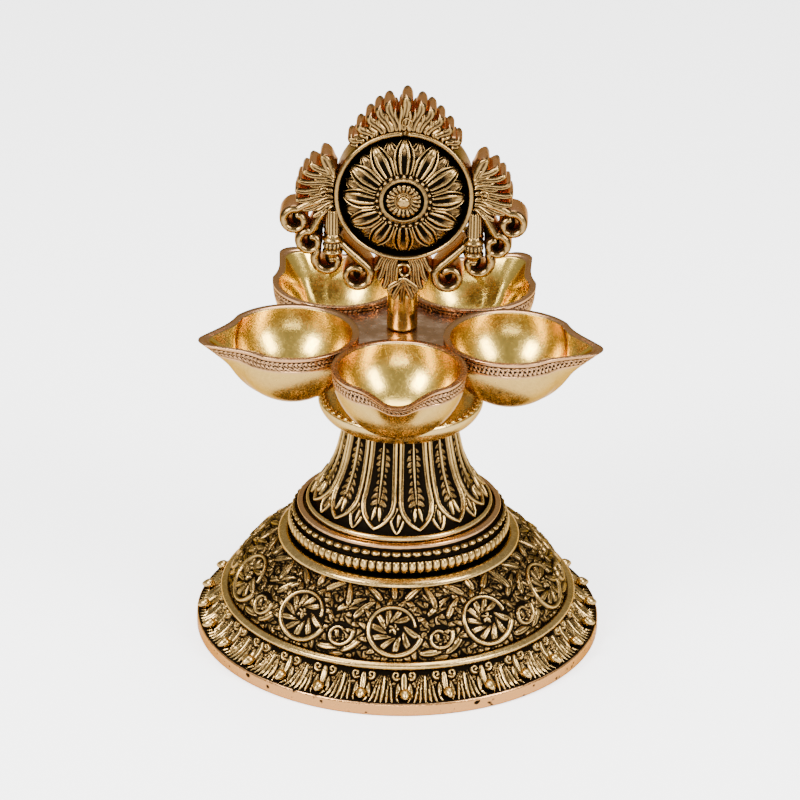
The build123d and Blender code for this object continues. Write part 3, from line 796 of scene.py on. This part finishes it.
def flower_relief(turn, share):
    row = share * (len(flower_outer) - 1)
    reach = np.interp(row, np.arange(len(flower_outer)), flower_outer[:, 0]) + 0 * turn
    big = petal_height(turn, reach, LOTUS_PETALS, TAU / 4, LOTUS_R, 3.4)
    small = 0.8 * petal_height(
        turn, reach, LOTUS_PETALS, TAU / 4 + math.pi / LOTUS_PETALS, LOTUS_R - 0.3, 3.1
    )
    high = np.where(big > 0, big, small)
    beads = bead_ring(turn, 24, 0.8, row, PETALS_END, BOSS_BEADS_END, 7.2)
    high = np.where(row >= PETALS_END, beads, high)
    high = np.where(row >= BOSS_BEADS_END, 0.8, high)
    return np.where(row >= BOSS_RING_END, 0.02, high)


flowers = [
    turned(name, flower_outer, np.array([[1.3, 0.0], [18.4, 0.0]]), 864, flower_relief,
           depth=1.1, tilt=facing(side, LOTUS_BASE))
    for name, side in (("lotus_front_petals", -1), ("lotus_back_petals", 1))
]

rosette_outer, rosette_ends = outline(
    (((5.3, 0.0), (5.1, 0.6), (4.2, 0.95), (3.2, 0.75), (2.6, 0.5)), 22),
    (((2.4, 0.5), (2.1, 1.0), (1.5, 1.15), (1.3, 1.1)), 8),
)


def rosette_relief(turn, share):
    row = share * (len(rosette_outer) - 1)
    scallop = ripples(turn, 20, 0.7) + 0 * row
    return np.where(row < rosette_ends[0] - 1, 0.12 + 0.8 * scallop, 0.75)


rosettes = [
    turned(name, rosette_outer, np.array([[1.3, 0.0], [5.0, -0.2]]), 320, rosette_relief,
           depth=0.5, tilt=facing(side, LOTUS_BASE + 5.9))
    for name, side in (("rosette_front_scallops", -1), ("rosette_back_scallops", 1))
]

# ---- Strands: the flames, leaves and ribbons of the crest ----------------------------
STRAND_SEGMENTS = 28
STRAND_RINGS = 30
STRAND_STEPS = 64
END_FULL = 9.6
FACE_FROM = 0.8
GROOVED_FROM = 1.1
ROLL_STEPS = 21


def bezier(points, steps):
    a, b, c, d = (np.array(p, float) for p in points)
    t = np.linspace(0, 1, steps)[:, None]
    return (1 - t) ** 3 * a + 3 * (1 - t) ** 2 * t * b + 3 * (1 - t) * t ** 2 * c + t ** 3 * d


def strand(spine, widths, half_t, crown=0.9, tone=1.0, groove=0.0):
    """A deep ribbon that stands across the crest and follows a line drawn on its face.

    widths are half widths along it; crown is how far its front edge is rounded; tone is how
    bright its faces are, and groove how far a line is cut along them.
    """
    piece = ball("strand", STRAND_SEGMENTS, STRAND_RINGS)
    unit = places_of(piece)
    ring = np.arcsin(np.clip(unit[:, 2], -1, 1)) / math.pi + 0.5
    flat = np.hypot(unit[:, 0], unit[:, 1])
    turn = np.arctan2(unit[:, 1], unit[:, 0])
    line = curve_through(spine, STRAND_STEPS)
    way = np.gradient(line, axis=0)
    way /= np.linalg.norm(way, axis=1)[:, None]
    share = np.clip(ring, 0, 1)
    along = np.linspace(0, 1, STRAND_STEPS)
    middle = np.column_stack([np.interp(share, along, line[:, k]) for k in range(2)])
    heading = np.column_stack([np.interp(share, along, way[:, k]) for k in range(2)])
    widths = np.array(widths, float)
    half = np.interp(share, np.linspace(0, 1, len(widths)), widths)
    from_end = np.minimum(share, 1 - share) * run_length(line)
    closing = np.clip(1 - from_end / np.maximum(half, 0.1), 0, 1)
    half = half * np.sqrt(1 - closing ** 2) * np.minimum(1, flat * END_FULL)
    across = np.cos(turn)
    deep = np.sign(np.sin(turn)) * np.abs(np.sin(turn)) ** 0.35
    rounded = np.clip((np.abs(deep) - (1 - crown / half_t)) / (crown / half_t), 0, 1)
    shoulder = np.sqrt(np.clip(1 - rounded ** 2, 0, 1))
    x = middle[:, 0] - heading[:, 1] * across * half * (0.25 + 0.75 * shoulder)
    z = middle[:, 1] + heading[:, 0] * across * half * (0.25 + 0.75 * shoulder)
    y = deep * half_t * np.minimum(1, flat * END_FULL)
    on_face = np.abs(deep) > FACE_FROM
    cut = groove * np.exp(-(across / 0.24) ** 2) * on_face * np.clip(from_end / 1.5, 0, 1)
    y = y - 0.7 * cut * np.sign(deep)
    high = np.where(on_face, tone * (1 - 0.9 * np.abs(across) ** 2.5) * (1 - cut), 0.6)
    pink = np.where(on_face, 0.1, 0.9)
    set_shape(piece, np.column_stack([x, y, DISC_Z + z]), high, pink)
    return piece


def tongue(root, tip, sway, width, half_t, tone=1.0):
    """An S-curved flame from root to tip, pushed sideways by sway. A broad one is grooved."""
    root, tip = np.array(root, float), np.array(tip, float)
    run = tip - root
    side = np.array([-run[1], run[0]]) / np.linalg.norm(run)
    line = bezier(
        (root, root + run * 0.33 + side * sway, root + run * 0.66 - side * sway, tip), 12
    )
    return strand(line, (width * 0.8, width * 1.1, width, width, width * 0.85), half_t,
                  tone=tone, groove=0.75 if width > GROOVED_FROM else 0.0)


def curl(at, reach, start, sweep, width, half_t, lead=()):
    """A ribbon that arrives along lead and rolls up round a place."""
    turns = np.radians(start + np.linspace(0, sweep, ROLL_STEPS))
    shrink = (1 - 0.7 * np.linspace(0, 1, ROLL_STEPS) ** 2.2) * reach
    roll = [(at[0] + r * math.cos(t), at[1] + r * math.sin(t)) for r, t in zip(shrink, turns)]
    widths = (width, width * 1.2, width * 1.1, width * 0.9, width * 1.2)
    return strand(list(lead) + roll, widths, half_t, crown=0.7, tone=0.95)


def round_disc(reach, angle):
    """A place on the crest's face at a distance and an angle in degrees from its middle."""
    turn = math.radians(angle)
    return reach * math.cos(turn), reach * math.sin(turn)


# Angle from upright, reach of the tip, and sway.
TOP_TONGUES = ((0, 31.4, 0.6), (8.4, 29.9, 0.9), (14.5, 28.8, 1.0), (21.5, 27.2, 1.0),
               (30.5, 25.6, 0.9), (41.0, 24.2, 0.7))
tongues = []
for angle, tip_r, sway in TOP_TONGUES:
    for side in ((-1, 1) if angle else (1,)):
        root = round_disc(DISC_R, 90 - side * angle * 0.92)
        tip = round_disc(tip_r, 90 - side * angle)
        deep = FLAME_HALF_T - 0.05 * angle / 10
        tongues.append(tongue(root, tip, side * sway * 2.8, 1.8, deep))
        for beside in (-1, 1):
            short = DISC_R + (tip_r - DISC_R) * (0.74 if beside == side else 0.6)
            root = round_disc(DISC_R, 90 - side * angle * 0.95 + beside * 3.6)
            tip = round_disc(short, 90 - side * angle + beside * 2.6)
            tongues.append(tongue(root, tip, side * sway * 1.6, 1.05, deep + 0.15, 0.9))
tongues.append(curl((0.5, DISC_R + 2.7), 1.6, -60, 400, 0.55, FLAME_HALF_T + 0.4))
top_flames = join("top_flame_tongues", tongues)

# Root, tip, sway and width.
FAN = (
    ((20.4, 5.6), (24.6, 12.0), -1.2, 2.1), ((20.4, 5.0), (27.6, 9.8), 1.8, 1.5),
    ((20.5, 4.0), (29.8, 7.3), 2.0, 1.4), ((20.6, 2.6), (31.4, 4.4), 2.0, 1.3),
    ((20.7, 0.8), (32.3, 1.2), 2.0, 1.3), ((20.7, -1.0), (32.2, -2.0), 1.9, 1.3),
    ((20.6, -2.4), (30.2, -5.0), 1.6, 1.3), ((20.6, -3.6), (27.0, -7.2), 1.2, 1.2),
)
# Middle, reach, start and sweep in degrees, width, and the lead that it arrives along.
RIBBONS = (
    ((32.0, -8.8), 3.6, 100, -400, 1.15, ((23.6, -2.2), (28.4, -3.6))),
    ((27.6, -15.6), 3.4, 95, -400, 1.15, ((23.0, -4.6), (25.4, -8.8))),
    ((21.9, -21.2), 4.3, 35, -260, 1.15, ((26.6, -17.2),)),
    ((13.6, -26.2), 4.0, 140, 400, 1.15, ((19.6, -14.6), (15.6, -18.8))),
)


def wing(name, side):
    """A fan of flames, four scrolls whose eyes are filled with black discs of painted shade, and
    the plain strips behind them, two of them dark as painted shade in the gaps.
    """
    strands = []
    for root, tip, sway, width in FAN:
        root = (side * root[0], root[1])
        tip = (side * tip[0], tip[1])
        strands.append(tongue(root, tip, side * sway, width, FLAME_HALF_T))
        low = (root[0] + (tip[0] - root[0]) * 0.66, root[1] + (tip[1] - root[1]) * 0.66 - 1.0)
        strands.append(tongue(root, low, side * sway * 0.8, 0.8, FLAME_HALF_T + 0.1, 0.85))
    strands.append(curl((side * 23.6, 0.6), 1.6, 90 + 60 * side, -side * 330, 0.6,
                        FLAME_HALF_T + 0.3))
    for at, reach, start, sweep, width, lead in RIBBONS:
        at = (side * at[0], at[1])
        start = start if side > 0 else 180 - start
        lead = [(side * x, z) for x, z in lead]
        strands.append(curl(at, reach, start, side * sweep, width * 1.15, FLAME_HALF_T, lead))
        # Each scroll's eye is filled with a black disc: painted shade in the hole of the scroll.
        strands.append(strand([(at[0] - 0.3 * reach, at[1]), at, (at[0] + 0.3 * reach, at[1])],
                              (0.9 * reach, 0.95 * reach, 0.9 * reach), 3.2, tone=0.0))
    strands.append(strand([(side * 22.6, -1), (side * 22.7, -9), (side * 22.6, -18)],
                          (1.0, 1.0, 1.0), 3.0))
    # These two strips are dark: painted shade in the gaps between the flames, scrolls and torches.
    strands.append(strand([(side * 21.6, 8.4), (side * 22.2, 2), (side * 21.9, -5)],
                          (1.6, 2.2, 1.6), 4.6, tone=0.2))
    strands.append(strand([(side * 24.2, -3), (side * 24.6, -8), (side * 25.0, -14)],
                          (1.5, 1.3, 1.0), 3.6, tone=0.1))
    return join(name, strands)


wings = [wing("wing_left_strands", -1), wing("wing_right_strands", 1)]

# ---- Torches -------------------------------------------------------------------------
TORCH_X = 20.9
TORCH_Y = 4.2
torch_outer, torch_ends = outline(
    (((0.5, -22.2), (1.1, -21.7), (0.95, -21.3), (1.5, -20.9), (1.3, -20.4), (2.0, -19.9),
      (2.3, -19.3)), 20),
    (((3.0, -18.8), (3.15, -18.3), (2.9, -17.9)), 6),
    (((2.7, -17.6), (3.05, -16.4), (2.75, -15.2)), 10),
    (((3.0, -14.9), (3.2, -14.5), (3.0, -14.0)), 6),
    (((2.4, -13.5), (1.9, -12.8), (1.8, -9.0), (1.7, -5.4), (0.4, -5.2)), 16),
)
BEADS_FROM, BEADS_TO, NECK_TO = torch_ends[1:4]


def torch_relief(turn, share):
    row = share * (len(torch_outer) - 1)
    beads = bead_ring(turn, 14, 0.7, row, BEADS_FROM, BEADS_TO, 5.4)
    high = np.where((row >= BEADS_FROM) & (row < BEADS_TO), 0.2 + 0.8 * beads, 0.9 + 0 * turn)
    flute = ripples(turn, 10, 0.6) + 0 * row
    return np.where(row >= NECK_TO + 1, 0.25 + 0.75 * flute, high)


def torch(name, side, face):
    def mount(places):
        return places + (side * TORCH_X, face * TORCH_Y, DISC_Z)
    return turned(name, torch_outer, np.array([[0.1, -6.0], [0.1, -21.0]]), 112, torch_relief,
                  depth=0.55, tilt=mount)


torches = {}
for side_name, side in (("left", -1), ("right", 1)):
    for face_name, face in (("front", -1), ("back", 1)):
        node = f"torch_{face_name}_{side_name}"
        torches[node] = torch(f"{node}_turning", side, face)

# ---- Crest post: peg, and the leaves that hold the disc ------------------------------
peg_foot = PLATE_Z + 0.2
peg_outer = curve_through(
    ((4.0, 0.0), (4.55, 0.4), (4.55, 4.0), (4.5, 9.0), (4.3, 12.0), (3.2, 13.0), (0.4, 13.2)), 26
) + (0, peg_foot)
peg = turned("peg_barrel", peg_outer, np.array([[0.2, peg_foot + 6], [0.2, peg_foot + 0.1]]), 96,
             level=0.9)
HANGING_LEAVES = (
    ((4.8, -19.6), (8.6, -24.4), 1.1, 1.2), ((3.6, -19.8), (7.6, -27.8), 1.5, 1.25),
    ((2.6, -20.2), (6.0, -30.4), 1.8, 1.25), ((1.6, -20.4), (4.2, -32.0), 1.6, 1.2),
)
leaf_strands = []
for side in (-1, 1):
    for root, tip, sway, width in HANGING_LEAVES:
        leaf_strands.append(tongue(
            (side * root[0], root[1]), (side * tip[0], tip[1]), side * sway, width, 4.9
        ))
leaf_strands.append(curl((0.3, -24.2), 2.1, 150, -400, 0.8, 5.3, ((-2.0, -28.0),)))
for tip_x, tip_z, sway in ((-4.4, -30.8, 0.9), (4.6, -30.8, -0.9), (-2.6, -33.8, 0.8),
                           (2.9, -33.8, -0.8), (0.2, -35.4, 0.8)):
    leaf_strands.append(tongue((0.2, -26.4), (tip_x, tip_z), sway, 1.25, 5.15))
post = join("post_leaves", leaf_strands)

rivet_outer = curve_through(((1.9, 0.0), (1.8, 0.6), (1.2, 1.1), (0.1, 1.25)), 12)
rivet_heads = []
for side in (-1, 1):
    rivet_heads.append(turned("rivet_head", rivet_outer, np.array([[0.05, -0.6], [1.8, -0.6]]), 40,
                              level=0.95, tilt=facing(side, LOTUS_BASE + 6.9)))
rivet = join("rivet_heads", rivet_heads)


# ---- Finishes ------------------------------------------------------------------------
def socket(group, name, kind, out=False, value=None):
    made = group.interface.new_socket(
        name=name, in_out="OUTPUT" if out else "INPUT", socket_type=kind
    )
    if value is not None:
        made.default_value = value
    return made


def link(tree, a, b):
    tree.links.new(a, b)


def patina_group():
    """Brass that is black in its hollows, mid gold on its flanks and pale where it is rubbed.

    Blush above 0 turns it pink, and below 0 polishes it. A Relief_and_shade near 0 also gives the
    black of painted shade, on pieces that stand in for shaded gaps.
    """
    group = bpy.data.node_groups.new("patina", "ShaderNodeTree")
    socket(group, "Relief_and_shade", "NodeSocketFloat", value=0.8)
    socket(group, "Blush", "NodeSocketFloat", value=0.0)
    socket(group, "Place", "NodeSocketVector")
    for name in ("Recess", "Flank", "Rubbed", "Pink", "Polished"):
        socket(group, name, "NodeSocketColor")
    socket(group, "Grain", "NodeSocketFloat", value=900.0)
    socket(group, "Blotch", "NodeSocketFloat", value=0.3)
    for name, kind in (("Color", "NodeSocketColor"), ("Rough", "NodeSocketFloat"),
                       ("Pits", "NodeSocketFloat")):
        socket(group, name, kind, out=True)
    nodes = group.nodes
    given = nodes.new("NodeGroupInput").outputs
    result = nodes.new("NodeGroupOutput")

    def math_node(operation, a, b=None, clamp=False):
        node = nodes.new("ShaderNodeMath")
        node.operation = operation
        node.use_clamp = clamp
        for slot, value in enumerate((a, b)):
            if value is None:
                continue
            if isinstance(value, (int, float)):
                node.inputs[slot].default_value = value
            else:
                link(group, value, node.inputs[slot])
        return node.outputs[0]

    def mix(factor, a, b):
        node = nodes.new("ShaderNodeMix")
        node.data_type = "RGBA"
        for key, value in ((0, factor), (6, a), (7, b)):
            link(group, value, node.inputs[key])
        return node.outputs[2]

    def noise(scale, detail, rough=0.55):
        node = nodes.new("ShaderNodeTexNoise")
        link(group, given["Place"], node.inputs["Vector"])
        if isinstance(scale, (int, float)):
            node.inputs["Scale"].default_value = scale
        else:
            link(group, scale, node.inputs["Scale"])
        node.inputs["Detail"].default_value = detail
        node.inputs["Roughness"].default_value = rough
        return node.outputs[0]

    def ramp(value, low, high):
        node = nodes.new("ShaderNodeMapRange")
        node.interpolation_type = "SMOOTHSTEP"
        link(group, value, node.inputs[0])
        node.inputs[1].default_value = low
        node.inputs[2].default_value = high
        return node.outputs[0]

    broad = noise(70.0, 3.0)
    fine = noise(given["Grain"], 4.0)
    uneven = math_node("MULTIPLY", math_node("SUBTRACT", broad, 0.5), given["Blotch"])
    speck = math_node("MULTIPLY", math_node("SUBTRACT", fine, 0.5), 0.35)
    height = math_node(
        "ADD", math_node("ADD", given["Relief_and_shade"], uneven), speck, clamp=True
    )
    lower = ramp(height, 0.2, 0.62)
    upper = ramp(height, 0.6, 1.0)
    colour = mix(lower, given["Recess"], given["Flank"])
    colour = mix(upper, colour, given["Rubbed"])
    warm = math_node("MULTIPLY", ramp(given["Blush"], 0.05, 0.9), lower)
    colour = mix(warm, colour, given["Pink"])
    shine = ramp(given["Blush"], -0.1, -0.9)
    colour = mix(shine, colour, given["Polished"])
    link(group, colour, result.inputs["Color"])
    roughness = math_node(
        "ADD", math_node("MULTIPLY", math_node("SUBTRACT", 1.0, lower), 0.4),
        math_node("MULTIPLY", fine, 0.28),
    )
    link(group, math_node("ADD", roughness, 0.1), result.inputs["Rough"])
    pit = nodes.new("ShaderNodeTexVoronoi")
    link(group, given["Place"], pit.inputs["Vector"])
    pit.inputs["Scale"].default_value = 260.0
    hole = ramp(pit.outputs["Distance"], 0.02, 0.22)
    link(group, math_node("ADD", math_node("MULTIPLY", hole, 0.5), fine), result.inputs["Pits"])
    return group


PATINA = patina_group()
EDGE_TINT = (0.82, 0.58, 0.34)
BLACK = (0.005, 0.0035, 0.002)
ROSE = (0.50, 0.27, 0.13)


def brass(name, flank, rubbed, pink=ROSE, recess=BLACK, polished=(0.64, 0.43, 0.09),
          grain=900.0, blotch=0.3, bump=0.25):
    material = bpy.data.materials.new(name)
    material.use_nodes = True
    tree = material.node_tree
    shader = tree.nodes["Principled BSDF"]
    place = tree.nodes.new("ShaderNodeTexCoord")
    patina = tree.nodes.new("ShaderNodeGroup")
    patina.node_tree = PATINA
    link(tree, place.outputs["Object"], patina.inputs["Place"])
    for key in ("Relief_and_shade", "Blush"):
        stored = tree.nodes.new("ShaderNodeAttribute")
        stored.attribute_name = key.lower()
        link(tree, stored.outputs["Fac"], patina.inputs[key])
    for key, colour in (("Recess", recess), ("Flank", flank), ("Rubbed", rubbed), ("Pink", pink),
                        ("Polished", polished)):
        patina.inputs[key].default_value = (*colour, 1)
    patina.inputs["Grain"].default_value = grain
    patina.inputs["Blotch"].default_value = blotch
    link(tree, patina.outputs["Color"], shader.inputs["Base Color"])
    link(tree, patina.outputs["Rough"], shader.inputs["Roughness"])
    shader.inputs["Metallic"].default_value = 1.0
    shader.inputs["Specular Tint"].default_value = (*EDGE_TINT, 1)
    dents = tree.nodes.new("ShaderNodeBump")
    dents.inputs["Strength"].default_value = bump
    dents.inputs["Distance"].default_value = 0.0002
    link(tree, patina.outputs["Pits"], dents.inputs["Height"])
    link(tree, dents.outputs["Normal"], shader.inputs["Normal"])
    return material


antique = brass("antique_brass_relief", (0.17, 0.10, 0.032), (0.56, 0.37, 0.13))
crest_brass = brass("antique_brass_crest", (0.085, 0.048, 0.017), (0.34, 0.215, 0.075),
                    (0.62, 0.31, 0.14))
foot_brass = brass("peach_foot_brass", (0.5, 0.27, 0.12), (0.8, 0.5, 0.26),
                   (0.54, 0.26, 0.085), blotch=0.4, bump=0.6)
bowl = brass("bowl_brass", (0.24, 0.14, 0.04), (0.52, 0.33, 0.09), blotch=0.12, bump=0.15)
dish_metal = brass("satin_dish_brass", (0.34, 0.2, 0.06), (0.6, 0.4, 0.13), blotch=0.12)
pitted = brass("pitted_plate_brass", (0.42, 0.26, 0.16), (0.95, 0.68, 0.48),
               (0.95, 0.68, 0.48), grain=500.0, blotch=1.1, bump=0.7)
peg_metal = brass("peg_brass", (0.26, 0.16, 0.035), (0.58, 0.38, 0.1), grain=300.0, blotch=1.3)
GREY = (0.55, 0.56, 0.58)
zinc = brass("zinc_steel", (0.4, 0.4, 0.4), GREY, GREY, recess=(0.2, 0.2, 0.2), polished=GREY)


def plate_level(node, level):
    """Gives a CAD piece's mesh the even relief that its finish reads."""
    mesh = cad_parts[node].data
    for name, value in (("relief_and_shade", level), ("blush", 0.0)):
        layer = mesh.attributes.new(name, "FLOAT", "POINT")
        layer.data.foreach_set("value", np.full(len(mesh.vertices), value, np.float32))


for node, material, level in (("hub", pitted, 0.72), ("tie_rod", zinc, 0.8),
                              ("bridge_washer", zinc, 0.8), ("lock_washer", zinc, 0.8),
                              ("rod_nut", zinc, 0.8)):
    plate_level(node, level)
    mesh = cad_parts[node].data
    mesh.materials.clear()
    mesh.materials.append(material)


def finish(piece, body, material, slot, *nodes):
    piece.data.materials.clear()
    piece.data.materials.append(material)
    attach(piece, body)
    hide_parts(*nodes)


for piece in (dome, border, ridge, top_rim, acorns):
    finish(piece, "lamp", antique, "antique_brass", "base_dome")
finish(foot, "lamp", foot_brass, "antique_brass", "base_dome")
finish(collar, "lamp", antique, "antique_brass", "collar_ring")
finish(stem, "lamp", antique, "antique_brass", "stem")
for piece in (dish, dish_beads):
    finish(piece, "lamp", dish_metal, "satin_brass", "drip_dish")
for cup, node in zip(cups, CUP_NODES):
    finish(cup, "lamp", bowl, "bowl_brass", node)
for node, piece in {
    "crest_ring": disc, "lotus_front": flowers[0], "lotus_back": flowers[1],
    "rosette_front": rosettes[0], "rosette_back": rosettes[1], "top_flames": top_flames,
    "wing_left": wings[0], "wing_right": wings[1], **torches, "crest_post": post,
    "centre_rivet": rivet,
}.items():
    finish(piece, "crest", crest_brass, "antique_brass", node)
finish(peg, "crest", peg_metal, "antique_brass", "crest_post")

# ---- Floor, lights and camera --------------------------------------------------------
PAPER_LIFT = 2.0
bpy.ops.mesh.primitive_plane_add(size=6)
floor = newest("studio_floor")
paper = bpy.data.materials.new("studio_paper")
paper.use_nodes = True
paper_shader = paper.node_tree.nodes["Principled BSDF"]
paper_shader.inputs["Base Color"].default_value = (0.9, 0.9, 0.9, 1)
paper_shader.inputs["Roughness"].default_value = 0.9
paper_shader.inputs["Emission Color"].default_value = (1, 1, 1, 1)
ray = paper.node_tree.nodes.new("ShaderNodeLightPath")
lift = paper.node_tree.nodes.new("ShaderNodeMath")
lift.operation = "MULTIPLY"
lift.inputs[1].default_value = PAPER_LIFT
link(paper.node_tree, ray.outputs["Is Camera Ray"], lift.inputs[0])
link(paper.node_tree, lift.outputs[0], paper_shader.inputs["Emission Strength"])
floor.data.materials.append(paper)

world = bpy.data.worlds.new("studio")
bpy.context.scene.world = world
world.use_nodes = True
background = world.node_tree.nodes["Background"]
background.inputs["Color"].default_value = (1, 1, 1, 1)
background.inputs["Strength"].default_value = 0.5


def softbox(name, place, size, power, aim=(0, 0, 0.08)):
    light = bpy.data.lights.new(name, "AREA")
    light.shape = "RECTANGLE"
    light.size, light.size_y = size
    light.energy = power
    lamp = bpy.data.objects.new(name, light)
    bpy.context.scene.collection.objects.link(lamp)
    lamp.location = place
    lamp.rotation_euler = (Vector(aim) - Vector(place)).to_track_quat("-Z", "Y").to_euler()


softbox("key_left", (-0.7, -0.6, 0.75), (0.4, 0.5), 24)
softbox("key_right", (0.75, -0.5, 0.65), (0.3, 0.6), 17)
softbox("top_box", (0.0, 0.1, 1.0), (0.7, 0.5), 13)
softbox("front_card", (0.0, -1.1, 0.25), (0.6, 0.2), 5)

AIM = Vector((-0.00024, 0, 0.075))
DISTANCE = 1.6
ELEVATION = math.radians(25.45)
AZIMUTH = math.radians(1.0)
ROLL = math.radians(0.95)
SENSOR = 36.0
FOCAL = 5307 / 800 * SENSOR
back = Vector((
    math.sin(AZIMUTH) * math.cos(ELEVATION), -math.cos(AZIMUTH) * math.cos(ELEVATION),
    math.sin(ELEVATION),
))
camera = bpy.data.objects.new("studio_camera", bpy.data.cameras.new("studio_camera"))
bpy.context.scene.collection.objects.link(camera)
aimed = back.to_track_quat("Z", "Y").to_matrix()
camera.matrix_world = Matrix.Translation(AIM + back * DISTANCE) @ (
    aimed @ Matrix.Rotation(ROLL, 3, "Z")
).to_4x4()
camera.data.sensor_width = SENSOR
camera.data.lens = FOCAL
bpy.context.scene.camera = camera
